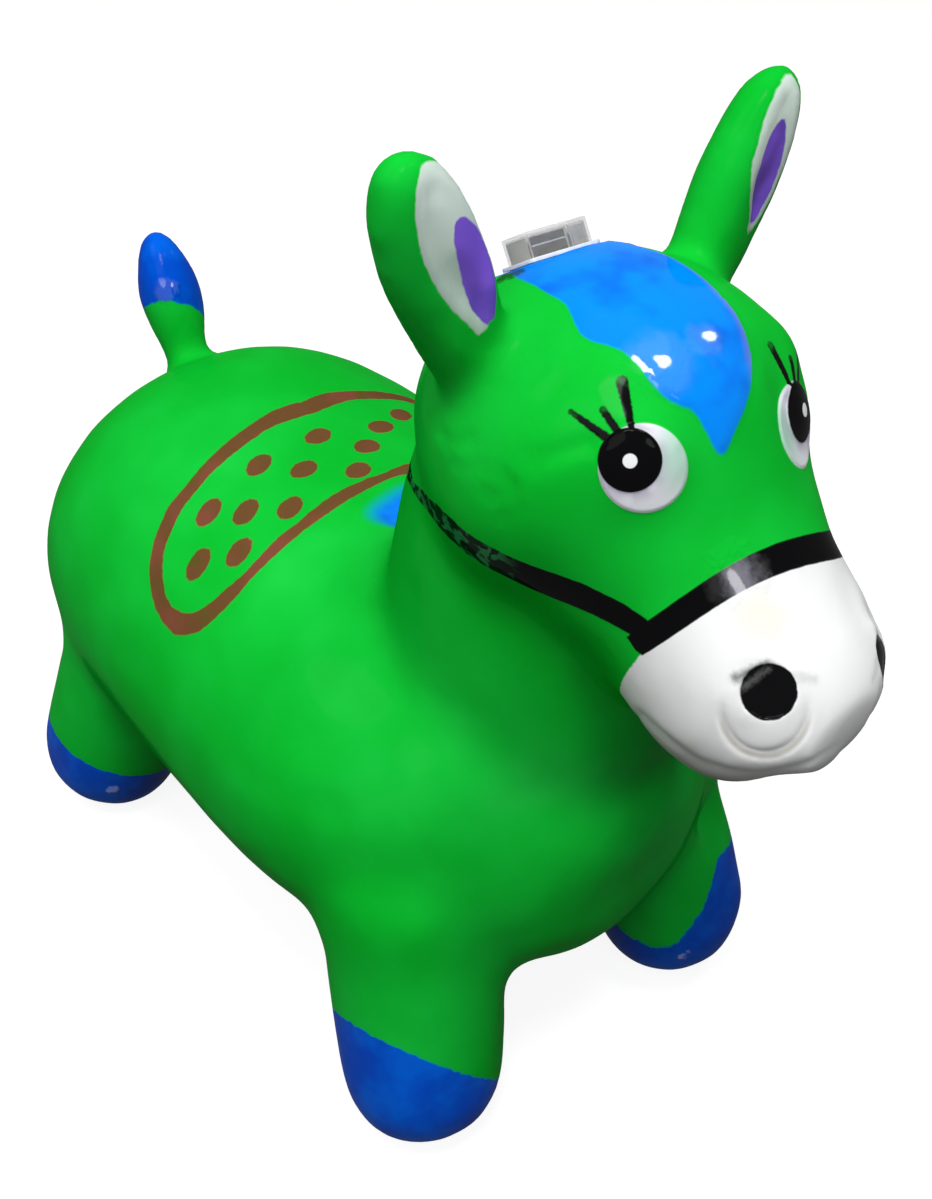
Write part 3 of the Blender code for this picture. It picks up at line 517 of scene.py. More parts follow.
# Places in the photograph's frame, read on the animal's right side; the left side mirrors them
facePlan = {
    "eye": (643, 468, 45.0),
    "pupil": (630, 460, 32.5),
    "spark": (630, 461, 7.4),
    "lashes": (  # root, tip, half width at each
        ((610, 440), (571, 412), 5.0, 3.0),
        ((618, 432), (603, 410), 4.4, 4.0),
        ((632, 430), (622, 382), 3.4, 6.5),
    ),
    "nostril": (769, 692, 28.8),
    "bowl": (765, 712, 44.0),
    "mouth": ((640, 714), (665, 737), (702, 763), (755, 775), (804, 773), (850, 752)),
    "farEye": (806, 421), "farNostril": (884, 654),  # where the left side's sit in the photograph
    "farNostrilRound": (4.2, 1.0, -2.9),  # mm further round the muzzle
}
bandPlan = {
    "upper": ((649, 620), (678, 598), (710, 578), (743, 559), (784, 540), (806, 534), (826, 533)),
    "lower": ((647, 653), (684, 628), (712, 610), (743, 591), (770, 579), (794, 569), (816, 562), (838, 561)),
    "upperLeft": ((44.0, -53.6), (52.0, -53.5)),  # mm across, and along the head
    "lowerLeft": ((45.8, -42.2), (53.1, -42.7)),
    "reach": 55 * mm,
    "under": 0.8 * mm,          # how far the white runs on under the band
    "jawLift": 0.350, "jawBack": -0.178, "bandLift": 0.379,  # how far the paint goes down the jaw
    "cornerAt": (-43.0, 382.0), "cornerLean": 0.29,
}
strapPlan = {
    "upper": ((415, 484), (426, 494), (437, 504), (453, 520), (472, 536), (497, 550), (513, 558), (535, 567),
              (584, 584), (621, 602), (649, 621)),
    "lower": ((646, 640), (631, 635), (594, 615), (557, 600), (529, 588), (500, 574), (476, 560), (454, 542),
              (436, 522), (422, 504), (410, 484)),
    "behind": ((-0.020, 0.314), (-0.020, 0.328)),  # along and up, round the back of the neck
}
forelockPlan = {
    "browPlace": -0.062, "above": (0.385, 0.20),  # least heights in front of that place and behind
    "seen": ((523, 281), (551, 296), (567, 306), (581, 333), (598, 343), (623, 352), (637, 366), (658, 392),
             (673, 404), (694, 413), (706, 433), (722, 455), (739, 423), (750, 389), (751, 354),
             (741, 323), (722, 298), (697, 274)),
    "hidden": ((0.023, -0.090), (0.024, -0.060), (0.019, -0.035), (0.023, -0.012), (0.021, 0.008),
               (0.008, 0.017), (-0.010, 0.016), (-0.024, 0.010), (-0.021, -0.010), (-0.025, -0.035),
               (-0.024, -0.062)),
}
saddlePlan = {
    "outer": ((331, 398.5), (300, 402), (272, 411), (249, 426), (226, 443), (203, 465), (186, 486),
              (168, 507), (159, 528), (152, 549), (149, 570), (150, 589), (154, 606), (161, 622),
              (172, 634), (185, 636), (199, 632), (211, 622), (223.5, 610), (237, 596), (252, 578),
              (268, 562), (283, 548), (298, 535.5), (314, 523), (331, 511.5), (348, 500), (366, 490.5),
              (384, 481)),
    "inner": ((331, 410), (310, 414), (291, 420), (272, 427), (252, 440), (231, 456), (212, 473),
              (195, 492), (180, 513), (171, 532), (164, 551), (162, 569), (163, 582), (165.5, 596),
              (171, 607), (182, 613), (193, 613), (204.5, 607), (214, 599.5), (229.5, 586), (245, 573),
              (260, 556.5), (275, 540), (293, 526), (310, 511.5), (325, 500), (344, 488.5), (365, 479),
              (384, 473.5)),
    "dots": ((381, 427), (318, 436), (367, 446), (259, 465), (304, 469), (358, 470),
             (209, 512), (246, 512), (290, 508), (198, 564), (239, 552)),
    "dotHalf": (8.2, 5.8),      # mm, along the saddle and across it
    "dotLean": 20,              # degrees, for the dots on the flank
    "trunkMiddle": 0.165,       # height of the axis that the saddle wraps round
    "trunkRadius": 0.105,
}
hoofPlan = {  # a plane's normal and reach in mm, for each hoof: blue lies below it
    "frontRight": ((0.691, 0.279, 0.666), -69.6),
    "frontLeft": ((-0.80, -0.40, 0.45), 38.0),
    "frontLeftOuter": ((0.27, 0.10, 0.91), 92.5),
    "corner": 9.0,              # mm, rounds the line where those two planes meet
    "rearRight": ((0.287, -0.167, 0.943), -8.6),
}
tailPlan = ((0.477, 0.652, 0.590), 306.1)  # the same for the tail, where blue lies beyond it
earPlan = {  # loops: share of the ear's length and mm across it, from the side away from the head round
    "foot": (0.048, -0.09224, 0.37954),
    "tip": (0.104, -0.08424, 0.50054),
    "lining": {
        -1: ((0.40, 0), (0.45, 3), (0.48, 4.1), (0.56, 7.7), (0.66, 9.7), (0.76, 9.7), (0.84, 7), (0.91, 2),
             (0.94, -5), (0.91, -12), (0.85, -16), (0.76, -19), (0.66, -21), (0.57, -19), (0.48, -12),
             (0.43, -5)),
        1: ((0.47, 3), (0.51, 9), (0.60, 13), (0.72, 13), (0.83, 10), (0.92, 4), (0.955, -3), (0.91, -9),
            (0.83, -12.5), (0.74, -13.1), (0.65, -11.9), (0.57, -6.2), (0.52, 0)),
    },
    "middle": {
        -1: ((0.41, -5.5), (0.44, -2.8), (0.50, -1.0), (0.58, -1.6), (0.66, -2.8), (0.72, -4.4), (0.755, -8),
             (0.74, -12.5), (0.68, -16.5), (0.60, -18), (0.51, -15.5), (0.44, -9.5)),
        1: ((0.50, 5), (0.55, 9), (0.63, 11), (0.72, 9), (0.80, 4), (0.83, -1), (0.78, -5.2), (0.70, -6.2),
            (0.62, -4.6), (0.56, -0.6)),
    },
}
eyeSpot, farEyeSpot = onSkin([facePlan["eye"][:2], facePlan["farEye"]])
nostrilSpot, farNostrilSpot = onSkin([facePlan["nostril"][:2], facePlan["farNostril"]])
farNostrilSpot = farNostrilSpot + np.array(facePlan["farNostrilRound"]) * mm
mouthSpots = onSkin(facePlan["mouth"][:-1])
strapSpots = onSkin(strapPlan["upper"][1:9])
farSpots = ((eyeSpot, farEyeSpot, "eye"), (nostrilSpot, farNostrilSpot, "nostril"))
fineWork = (  # spots, and mm around them where the faces are cut once, and where they are cut again
    ((eyeSpot,), 34, 23),
    ((nostrilSpot,), 32, 24),
    (mouthSpots, 20, 0),
    (strapSpots, 14, 0),
)


def away(points, spot):
    # distance to a spot on the right, or to where the left side has its like
    reach = np.linalg.norm(mirrored(points) - spot, axis=1)
    for near, far, _ in farSpots:
        if spot is near:
            left = points[:, 0] > 0
            reach[left] = np.linalg.norm(points[left] - far, axis=1)
    return reach


def nearest(points, spots):
    return np.min([away(points, spot) for spot in spots], axis=0)


def refined(mesh, turn):
    # one cut through every face that is close enough to a spot of fineWork
    centres = np.empty(len(mesh.polygons) * 3)
    mesh.polygons.foreach_get("center", centres)
    centres = centres.reshape(-1, 3)
    picks = np.any([nearest(centres, spots) < reach[turn] * mm for spots, *reach in fineWork], axis=0)
    work = bmesh.new()
    work.from_mesh(mesh)
    work.faces.ensure_lookup_table()
    edges = {edge for number in np.flatnonzero(picks) for edge in work.faces[number].edges}
    bmesh.ops.subdivide_edges(work, edges=list(edges), cuts=1, use_grid_fill=True)
    bmesh.ops.triangulate(work, faces=[face for face in work.faces if len(face.verts) > 4])
    work.to_mesh(mesh)
    work.free()


for turn in range(2):
    refined(skinMesh, turn)
closeBy = nearest(placesOf(skinMesh), (eyeSpot, nostrilSpot, *mouthSpots))
fadeStart, fadeEnd = skinForm["closeReach"]
closeShare = 1 - np.clip((closeBy - fadeStart) / (fadeEnd - fadeStart), 0, 1)
skinPlaces = evened(skinMesh, skinForm["closeRounds"], closeShare[:, None])
print("skin refined:", len(skinMesh.polygons), "faces")


def planOf(points, shifted=False):
    # where points lie in the photograph, with the left side's eye and nostril moved over their like
    flat, depth = toPhoto(mirrored(points))
    if shifted:
        for near, far, name in farSpots:
            move = toPhoto(mirrored([far]))[0][0] - facePlan[name][:2]
            flat[(points[:, 0] > 0) & (np.linalg.norm(points - far, axis=1) < 60 * mm)] -= move
    return flat, depth / photoView["focalPixels"]


def ring(points, name, near):
    # signed distance to a circle of the face plan
    flat, scale = planOf(points, True)
    u, v, radius = facePlan[name]
    return np.where(near, (np.hypot(flat[:, 0] - u, flat[:, 1] - v) - radius) * scale, 1.0)


def earPlace(points):
    # share of the ear's length, and how far across it and in front of its middle
    foot, tip = np.array(earPlan["foot"]), np.array(earPlan["tip"])
    length = np.linalg.norm(tip - foot)
    along = (tip - foot) / length
    local = mirrored(points) * (-1, 1, 1) - foot
    high = local @ along
    across = np.array([1.0, 0, 0]) - along * along[0]
    across /= np.linalg.norm(across)
    front = np.cross(across, along)
    front *= -np.sign(front[1])
    rest = local - high[:, None] * along
    return high / length, rest @ across, rest @ front, length


def earMask(points, name):
    share, across, front, length = earPlace(points)
    distance = np.full(len(points), farOff)
    for hand, loop in earPlan[name].items():
        near = (points[:, 0] * hand > 0) & (front > 2 * mm) & (share > 0.25) & (points[:, 2] > 0.41)
        flat = np.stack([share[near] * length, across[near]], -1)
        distance[near] = outline(flat, smoothLoop(np.array(loop) * (length, mm)))
    return distance


relief = {
    "eye": 0.8 * mm, "eyeEdge": 1.1 * mm, "pupil": 0.4 * mm, "pupilDome": 0.8 * mm,
    "bowl": 2.2 * mm, "bowlCrease": 1.5 * mm, "nostril": 0.9 * mm,
    "mouth": 1.1 * mm, "mouthWidth": 1.8 * mm,
    "ear": 3.0 * mm, "forelock": 0.9 * mm,
    "pixel": 0.42 * mm,  # what a pixel of the photograph spans on the head
    "swell": 0.55 * mm, "swellScale": 17.0, "wrinkle": 0.30 * mm, "wrinkleScale": 46.0,
}
creases = (  # a line in the photograph's pixels, how deep and how wide in mm
    (((440, 430), (452, 443), (472, 438)), 1.1, 2.2),
    (((452, 462), (466, 470), (482, 464)), 0.9, 1.8),
    (((480, 492), (497, 497), (516, 486)), 0.9, 2.0),
    (((500, 470), (512, 482), (514, 497)), 0.8, 2.0),
    (((498, 520), (512, 516), (524, 506)), 0.8, 1.8),
    (((536, 460), (560, 452), (586, 444)), 1.3, 5.0),
    (((446, 318), (470, 340), (505, 348)), 0.7, 4.0),
    (((404, 812), (418, 838), (436, 872)), 0.5, 2.6),
    (((352, 590), (384, 640), (402, 700)), 0.5, 5.0),
    (((330, 800), (350, 850), (346, 890)), 0.5, 4.0),
    (((712, 368), (728, 372), (745, 380)), 0.7, 1.8),
)
nudges = (  # photograph's pixel, how far the outline moves there in pixels, mm around it
    ((826, 745), (9, 17), 17.0),
    ((804, 405), (-11, 3), 24.0),
    ((782, 338), (7, -4), 14.0),
    ((726, 812), (-29, 0), 21.0),
    ((732, 900), (6, 0), 16.0),
)


def vertexNormals(mesh):
    normals = np.empty(len(mesh.vertices) * 3)
    mesh.vertices.foreach_get("normal", normals)
    return normals.reshape(-1, 3)


def forelockReach(points):
    loop = np.concatenate([onSkin(forelockPlan["seen"])[:, :2], np.array(forelockPlan["hidden"])])
    upper = points[:, 2] > np.where(points[:, 1] < forelockPlan["browPlace"], *forelockPlan["above"])
    return np.where(upper, outline(points[:, :2], smoothLoop(loop)), farOff)


def nudged(points):
    # small corrections of the outline, square to the photograph's line of sight
    right, up, _ = viewAxes()
    moved = points.copy()
    for pixel, shift, reach in nudges:
        spot = onSkin([pixel])[0]
        depth = toPhoto(np.array([spot]))[1][0]
        move = (np.array(right) * shift[0] - np.array(up) * shift[1]) * depth / photoView["focalPixels"]
        moved += bell(np.linalg.norm(points - spot, axis=1), reach * mm)[:, None] * move
    return moved


def heldIn(points, soft=3 * mm):
    # eases what stands out of the CAD box back into it
    low, high = (np.array(corner) for corner in cadBox)
    over = np.maximum(points - (high - soft), 0)
    points = points - over + soft * (1 - np.exp(-over / soft))
    under = np.maximum(low + soft - points, 0)
    under[:, 2] = 0
    return points + under - soft * (1 - np.exp(-under / soft))


def eyeRelief(points):
    # the eye on its ledge, and its domed pupil
    near = away(points, eyeSpot) < 40 * mm
    eye, pupil = ring(points, "eye", near), ring(points, "pupil", near)
    dome = np.clip(-pupil / (facePlan["pupil"][2] * 0.4 * mm), 0, 1)
    push = relief["eye"] * rise(-eye, -0.2 * relief["eyeEdge"], relief["eyeEdge"])
    push += relief["pupil"] * rise(-pupil, 0, 0.8 * mm) * (eye < 6 * mm)
    return push + relief["pupilDome"] * dome * (2 - dome)


def noseRelief(points):
    # the nostril in its bowl, which is deeper and creased below
    near = away(points, nostrilSpot) < 45 * mm
    bowl, nostril = ring(points, "bowl", near), ring(points, "nostril", near)
    middle, half = facePlan["bowl"][1:]
    below = rise(planOf(points, True)[0][:, 1], middle - 25, middle + 22)
    push = -relief["bowl"] * 0.5 * rise(-bowl, -1 * mm, half * 0.4 * mm)
    push -= relief["bowl"] * 0.5 * rise(-bowl, -1.5 * mm, 2.5 * mm) * below
    push -= relief["bowlCrease"] * bell(bowl, 1.6 * mm) * below
    return push - relief["nostril"] * rise(-nostril, -0.5 * mm, 0.9 * mm)


def lineRelief(points):
    # soft creases in the vinyl, and the line of the mouth
    flat, _ = planOf(points)
    push = np.zeros(len(points))
    for line, depth, width in creases:
        near = (points[:, 0] < 30 * mm) & (away(points, onSkin([line[1]])[0]) < 45 * mm)
        crease = trail(flat, smoothLoop(line, closed=False)) * relief["pixel"]
        crease = np.where(near, crease, farOff)
        push -= depth * mm * (bell(crease, width * mm) - 0.35 * bell(crease, 2.4 * width * mm))
    lips = smoothLoop(toPhoto(mirrored(mouthSpots))[0], closed=False)
    lips = np.concatenate([lips, facePlan["mouth"][-1:]])
    near = (points[:, 1] < -0.17) & (points[:, 2] < 0.34) & (points[:, 2] > 0.25)
    lip = np.where(near, trail(flat, lips) * relief["pixel"], farOff)
    return push - relief["mouth"] * bell(lip, relief["mouthWidth"])


def unevenness(points):
    # a slow swell everywhere, and finer wrinkles on the head
    head = rise(points[:, 2], 0.30, 0.36)
    push = np.zeros(len(points))
    for number, point in enumerate(points):
        place = Vector(point)
        push[number] = relief["swell"] * noise.noise(place * relief["swellScale"])
        if head[number] > 0:
            push[number] += relief["wrinkle"] * head[number] * noise.noise(place * relief["wrinkleScale"])
    return push


def formed(mesh, points):
    points = nudged(points)
    setPlaces(mesh, points)
    push = eyeRelief(points) + noseRelief(points) + lineRelief(points) + unevenness(points)
    push -= relief["ear"] * rise(-earMask(points, "lining"), -1 * mm, 8 * mm)
    push += relief["forelock"] * rise(-forelockReach(points), -0.4 * mm, 2.2 * mm) * (points[:, 1] < -0.08)
    push *= rise(points[:, 2], 1 * mm, 6 * mm)  # the soles stay flat
    return points + vertexNormals(mesh) * push[:, None]


seat = {"half": (20.6 * mm, 12.1 * mm), "height": 3.2 * mm, "blend": 7 * mm, "reach": 16 * mm}


def flatUnderBox(points):
    across, back, high = fromSeat(points)
    outside = np.hypot(*(np.maximum(np.abs(offset) - half, 0)
                         for offset, half in zip((across, back), seat["half"])))
    hold = (1 - rise(outside, 0, seat["blend"])) * (np.abs(high) < seat["reach"])
    return points + (hold * (seat["height"] - high))[:, None] * boxUp


skinPlaces = flatUnderBox(heldIn(formed(skinMesh, skinPlaces)))
skinPlaces[:, 2] = np.maximum(skinPlaces[:, 2], 0.0)
setPlaces(skinMesh, skinPlaces)
print("skin formed")


def stacked(rings, steps=5):
    # a closed form through rounded rectangles, each of half sizes, corner radius and height
    verts, faces = [], []
    for half, corner, height in rings:
        for quarter, (sx, sy) in enumerate(((1, 1), (-1, 1), (-1, -1), (1, -1))):
            for step in range(steps + 1):
                angle = math.pi / 2 * (quarter + step / steps)
                verts.append((sx * (half[0] - corner) + corner * math.cos(angle),
                              sy * (half[1] - corner) + corner * math.sin(angle), height))
    return verts, tubeFaces(4 * (steps + 1), len(rings))


def tubeFaces(size, rings):
    # the sides between rings of points, and both ends
    faces = [(first + n, first + (n + 1) % size, first + size + (n + 1) % size, first + size + n)
             for first in range(0, (rings - 1) * size, size) for n in range(size)]
    return faces + [tuple(reversed(range(size))), tuple(range((rings - 1) * size, rings * size))]


def cutFrom(mesh, verts, faces):
    cutter = addObject("cutter", meshOf("cutter", verts, faces))
    done = changed(mesh, "BOOLEAN", operation="DIFFERENCE", solver="MANIFOLD", object=cutter)
    bpy.data.objects.remove(cutter)
    return done


openings = {
    "pocketHalf": (17.8 * mm, 9.1 * mm), "pocketCorner": 1.8 * mm, "pocketBack": -0.35 * mm,
    "pocketSpan": (-8.2 * mm, 30 * mm),
    "boreLow": 40 * mm,
    "bores": ((10.3 * mm, 56.4 * mm), (4.8 * mm, 73 * mm)),  # radius and top of the recess and of the bore
    "boreSides": 48,
}
verts, faces = stacked([(openings["pocketHalf"], openings["pocketCorner"], high)
                        for high in openings["pocketSpan"]])
skinMesh = cutFrom(skinMesh, intoSeat(np.array(verts) + (0, openings["pocketBack"], 0)), faces)
turns = [math.tau * n / openings["boreSides"] for n in range(openings["boreSides"])]
for radius, top in openings["bores"]:
    verts = [(plugAt[0] + radius * math.cos(turn), plugAt[1] + radius * math.sin(turn), high)
             for high in (openings["boreLow"], top) for turn in turns]
    skinMesh = cutFrom(skinMesh, verts, tubeFaces(len(turns), 2))
print("pocket and bore cut:", len(skinMesh.polygons), "faces")


# Paint: signed distances in mm to each painted edge, kept on the skin's points
def store(mesh, **masks):
    for name, values in masks.items():
        values = np.asarray(values, np.float32)
        kind, key = ("FLOAT_VECTOR", "vector") if values.ndim == 2 else ("FLOAT", "value")
        mesh.attributes.new(name, kind, "POINT").data.foreach_set(key, values.ravel())


headAlong, headUp = np.array([0.0, -0.8, -0.6]), np.array([0.0, -0.6, 0.8])


def bandMasks(points):
    # the white muzzle and the noseband, by how far along the head their edges lie
    along, lift = points @ headAlong, points @ headUp
    reach = bandPlan["reach"]
    edges = {}
    for name in ("upper", "lower"):
        line = onSkin(bandPlan[name])
        line = np.concatenate([np.column_stack([line[:, 0], line @ headAlong]),
                               np.array(bandPlan[name + "Left"]) * mm])
        fit = np.polyfit(line[:, 0] / reach, line[:, 1], 4)
        edges[name] = np.polyval(fit, np.clip(points[:, 0] / reach, -1, 1))
    ahead = (points[:, 1] < -0.13) & (points[:, 2] > 0.245)
    jaw = np.minimum(bandPlan["jawLift"] - lift, points[:, 1] - bandPlan["jawBack"])
    cornerAlong, cornerLift = np.array(bandPlan["cornerAt"]) * mm
    corner = cornerAlong + (cornerLift - lift) * bandPlan["cornerLean"] - along
    muzzle = np.maximum.reduce([edges["lower"] - along, corner, jaw]) - bandPlan["under"]
    band = np.maximum.reduce([edges["upper"] - along, along - edges["lower"], bandPlan["bandLift"] - lift])
    masks = {"muzzle": muzzle, "noseBand": band}
    return {name: np.where(ahead, mask, farOff) / mm for name, mask in masks.items()}


def strapMask(points):
    line = np.concatenate([onSkin(strapPlan["upper"][::-1])[:, 1:], np.array(strapPlan["behind"])[::-1],
                           onSkin(strapPlan["lower"][::-1])[:, 1:]])
    near = (points[:, 2] > 0.29) & (points[:, 1] > -0.2)
    return np.where(near, outline(points[:, 1:], line), farOff) / mm


def wrapped(spots):
    # the back laid flat: how far round the trunk, and along it
    turn = np.arctan2(np.abs(spots[:, 0]), spots[:, 2] - saddlePlan["trunkMiddle"])
    return np.stack([turn * saddlePlan["trunkRadius"], spots[:, 1]], -1)


def saddleMasks(points):
    onBack = (points[:, 1] > -0.02) & (points[:, 1] < 0.15) & (points[:, 2] > saddlePlan["trunkMiddle"])
    flat = wrapped(points)
    masks = {}
    for name in ("outer", "inner"):
        line = wrapped(onSkin(saddlePlan[name]))
        line[0, 0] = line[-1, 0] = 0.0
        closed = np.concatenate([line, [[-0.02, line[-1, 1]], [-0.02, line[0, 1]]]])
        masks["saddle" + name.title()] = np.where(onBack, outline(flat, closed), farOff) / mm
    dots = np.full(len(points), farOff / mm)
    signed = flat * np.where(points[:, :1] < 0, (-1, 1), (1, 1))
    half = np.array(saddlePlan["dotHalf"])
    for pixel in saddlePlan["dots"]:
        spot = onSkin([pixel])
        at = wrapped(spot)[0] * (np.sign(spot[0, 0]), 1)
        lean = math.radians(saddlePlan["dotLean"] if at[0] < -40 * mm else 0)
        turn = np.array(((math.cos(lean), math.sin(lean)), (-math.sin(lean), math.cos(lean))))
        spots = [at] if at[0] > -35 * mm else [at, at * (-1, 1)]  # a flank's dot has its like on the left
        for place in spots:
            offset = (signed - place) / mm @ turn.T / half
            dots = np.minimum(dots, (np.hypot(*offset.T) - 1) * min(half))
    return {**masks, "saddleDots": np.where(onBack, dots, farOff / mm)}


def hoofMask(points):
    def below(name, hand=1):
        normal, reach = hoofPlan[name]
        return (points * (hand, 1, 1)) @ np.array(normal) / mm - reach

    rear, left = points[:, 1] > 0, points[:, 0] > 0
    inner, outer = below("frontLeft"), below("frontLeftOuter")
    frontLeft = (inner + outer + np.hypot(inner - outer, hoofPlan["corner"])) / 2
    hoof = np.where(rear, np.where(left, below("rearRight", -1), below("rearRight")),
                    np.where(left, frontLeft, below("frontRight")))
    return np.where(points[:, 2] < 0.13, hoof, farOff / mm)


def tailMask(points):
    normal, reach = tailPlan
    near = (points[:, 1] > 0.17) & (points[:, 2] > 0.245)
    return np.where(near, reach - points @ np.array(normal) / mm, farOff / mm)


def paintSkin(mesh):
    points = placesOf(mesh)
    flat, _ = planOf(points, True)
    store(mesh, facePlan=np.column_stack([flat, np.zeros(len(flat))]),
          eyeNear=1 - rise(away(points, eyeSpot), 45 * mm, 50 * mm),
          noseNear=1 - rise(away(points, nostrilSpot), 36 * mm, 40 * mm),
          forelock=forelockReach(points) / mm, strap=strapMask(points), hoof=hoofMask(points),
          tail=tailMask(points), earLining=earMask(points, "lining") / mm,
          earMiddle=earMask(points, "middle") / mm, earShare=np.clip(earPlace(points)[0], 0, 1),
          **bandMasks(points), **saddleMasks(points))


paintSkin(skinMesh)
print("paint laid out")

paint = {
    "green": srgb(20, 196, 60), "greenDeep": srgb(8, 181, 42), "greenPale": srgb(46, 208, 84),
    "forelock": srgb(0, 134, 244), "forelockDeep": srgb(0, 104, 220), "forelockRimSheen": srgb(116, 132, 216),
    "hoof": srgb(0, 76, 204), "hoofPale": srgb(0, 98, 226),
    "white": srgb(240, 241, 241), "whiteShade": srgb(180, 178, 170), "whiteYellow": srgb(246, 246, 214),
    "black": srgb(7, 7, 9), "inkSheen": srgb(112, 114, 112), "bandHighlight": srgb(150, 148, 164),
    "strapWorn": srgb(5, 36, 17), "strapChip": srgb(40, 138, 74),
    "brown": srgb(108, 66, 42), "brownRed": srgb(128, 64, 54), "brownGreen": srgb(84, 80, 30),
    "lining": srgb(224, 240, 230), "liningShade": srgb(168, 188, 177),
    "purple": srgb(138, 96, 230), "purpleDeep": srgb(110, 80, 198),
    "eyeWhite": srgb(228, 230, 236), "eyeShade": srgb(176, 170, 190), "eyeGreenReflection": srgb(166, 214, 190),
    "spark": (0.85, 0.86, 0.88),
    "darkStreak": srgb(20, 52, 24),
}
gloss = {
    "rough": 0.44, "roughBroad": 0.12, "roughFine": 0.08,
    "smoother": 0.12,           # how much smoother the painted parts are
    "coat": 0.02, "forelockCoat": 0.09, "hoofCoat": 0.03, "darkCoat": 0.04, "muzzleCoat": 0.04,
    "glintCoat": 0.83,
    "coatRough": 0.07,
    "glints": (                 # where the paint shines most: photograph's pixel, and mm around it
        ((660, 364), 17.0), ((704, 341), 10.0), ((738, 574), 15.0), ((168, 292), 8.0), ((112, 790), 4.0),
        ((683, 955), 3.5),
    ),
}


class SkinFinish(Finish):
    # the skin's material, with measures to its painted edges and to places on the photograph
    def __init__(self):
        super().__init__(bpy.data.materials.new("paintedSoftVinyl"))
        self.plan = self.attribute("facePlan", "Vector")
        self.edge = self.ragged(210.0, 2.0, 1.3)  # mm that a sprayed edge wanders
        self.noseNear = self.attribute("noseNear")

    def inside(self, name, soft=0.45, wander=1.0):
        return (self.attribute(name) + self.edge * wander).step(soft, -soft)

    def near(self, pixel, outer, inner, wander=0.0):
        # how near the surface is to a pixel's place on it, with mm at which that fades
        apart = self.vector("DISTANCE", self.objectPlace, tuple(onSkin([pixel])[0]))
        return (apart + wander).step(outer * mm, inner * mm)

    def circle(self, name):
        # pixels from a circle of the face plan
        u, v, radius = facePlan[name]
        return self.vector("DISTANCE", self.plan, (u, v, 0.0)) - radius

    def stroke(self, root, tip, rootHalf, tipHalf):
        # pixels from a tapering stroke of the face plan, and how far along it a place is
        run = np.array(tip, float) - np.array(root, float)
        offset = self.vector("SUBTRACT", self.plan, (*root, 0.0), "Vector")
        unit = (*(run / (run @ run)), 0.0)
        share = self.vector("DOT_PRODUCT", offset, unit).high(0.0).low(1.0)
        line = self.node("ShaderNodeVectorMath", {"operation": "SCALE"}, {0: (*run, 0.0), "Scale": share})
        return self.vector("DISTANCE", offset, line) - (share * (tipHalf - rootHalf) + rootHalf), share


def groundColour(skin, broad, fine):
    colour = skin.mix(broad.step(0.35, 0.68), paint["greenDeep"], paint["green"])
    colour = skin.mix(broad.step(0.55, 0.8) * 0.5, colour, paint["greenPale"])
    return skin.mix((fine - 0.5).step(0.0, 0.4) * 0.10, colour, paint["greenPale"])


def saddleColour(skin):
    brown = skin.clouded(paint["brown"], paint["brownRed"], 28.0, 2.0, (0.42, 0.62), 0.6)
    return skin.clouded(brown, paint["brownGreen"], 38.0, 2.0, (0.54, 0.7), 0.6, 0.7)


def forelockLayer(skin):
    # its edge is softer at the end of the mane, and its left rim carries a painted pale sheen
    soft = skin.axis("Y").step(-0.012, 0.014) * 7.0 + 0.5
    edge = skin.attribute("forelock") + skin.ragged(60.0, 1.0, 1.1) + skin.edge * 0.5
    blue = skin.clouded(paint["forelock"], paint["forelockDeep"], 24.0, 3.0, (0.42, 0.64), 0.6)
    # painted sheen: a pale violet band along the left edge that stands for a grazing reflection
    rim = skin.attribute("forelock").step(-5.0, -0.5) * skin.axis("X").step(0.004, 0.012)
    return (edge / soft).step(1.0, -1.0), skin.mix(rim * 0.6, blue, paint["forelockRimSheen"])


def hoofLayer(skin):
    hooves = skin.inside("hoof", 0.7, 2.2).high(skin.inside("tail", 0.7, 2.0))
    return hooves, skin.clouded(paint["hoof"], paint["hoofPale"], 30.0, 3.0, (0.4, 0.66), 0.6)


def muzzleLayer(skin):
    # white, with dirt and painted shade low down, a yellow tint on top and a painted shadow in the crease
    # under the nostril's bowl
    # dirt and painted shade: the white turns grey towards the bottom of the muzzle
    dirtAndLowShade = (skin.grain(34.0, 3.0, 0.6) * 0.02 + skin.axis("Z")).step(0.322, 0.288)
    white = skin.mix(dirtAndLowShade * 0.85, paint["white"], paint["whiteShade"])
    tint = skin.near((765, 620), 14.0, 4.0, skin.ragged(60.0, 2.0, 0.012))
    white = skin.mix(tint * 0.55, white, paint["whiteYellow"])
    middle = facePlan["bowl"][1]
    under = skin.axis("Y", skin.plan).step(middle - 8, middle + 26)
    # painted shadow: a grey line along the lower edge of the nostril's bowl, where the relief creases
    crease = skin.circle("bowl").size().step(5.0, 0.5) * under * skin.noseNear
    return skin.inside("muzzle", 0.5), skin.mix(crease * 0.8, white, paint["whiteShade"])


def beltLayer(skin):
    # noseband and strap: black, chipped green at the back of the strap, with a painted pale highlight on the
    # noseband
    back = skin.axis("Y").step(-0.144, -0.131)
    brushed = skin.stretched((80, 120, 200), (0.5, 0.0, 0.0))
    chips = back * skin.grain(1.0, 2.0, 0.5, brushed, 0.8).step(0.50, 0.57)
    # painted highlight: a pale patch that stands for glare on the noseband
    bandHighlight = skin.near((738, 577), 12.0, 2.0, skin.ragged(90.0, 3.0, 0.02, 0.7)) * 0.5
    black = skin.mix(back * 0.8, paint["black"], paint["strapWorn"])
    black = skin.mix(chips * 0.8, black, paint["strapChip"])
    belts = skin.inside("noseBand", 0.35, 0.3).high(skin.inside("strap", 0.4, 0.6))
    return belts, skin.mix(bandHighlight, black, paint["bandHighlight"])


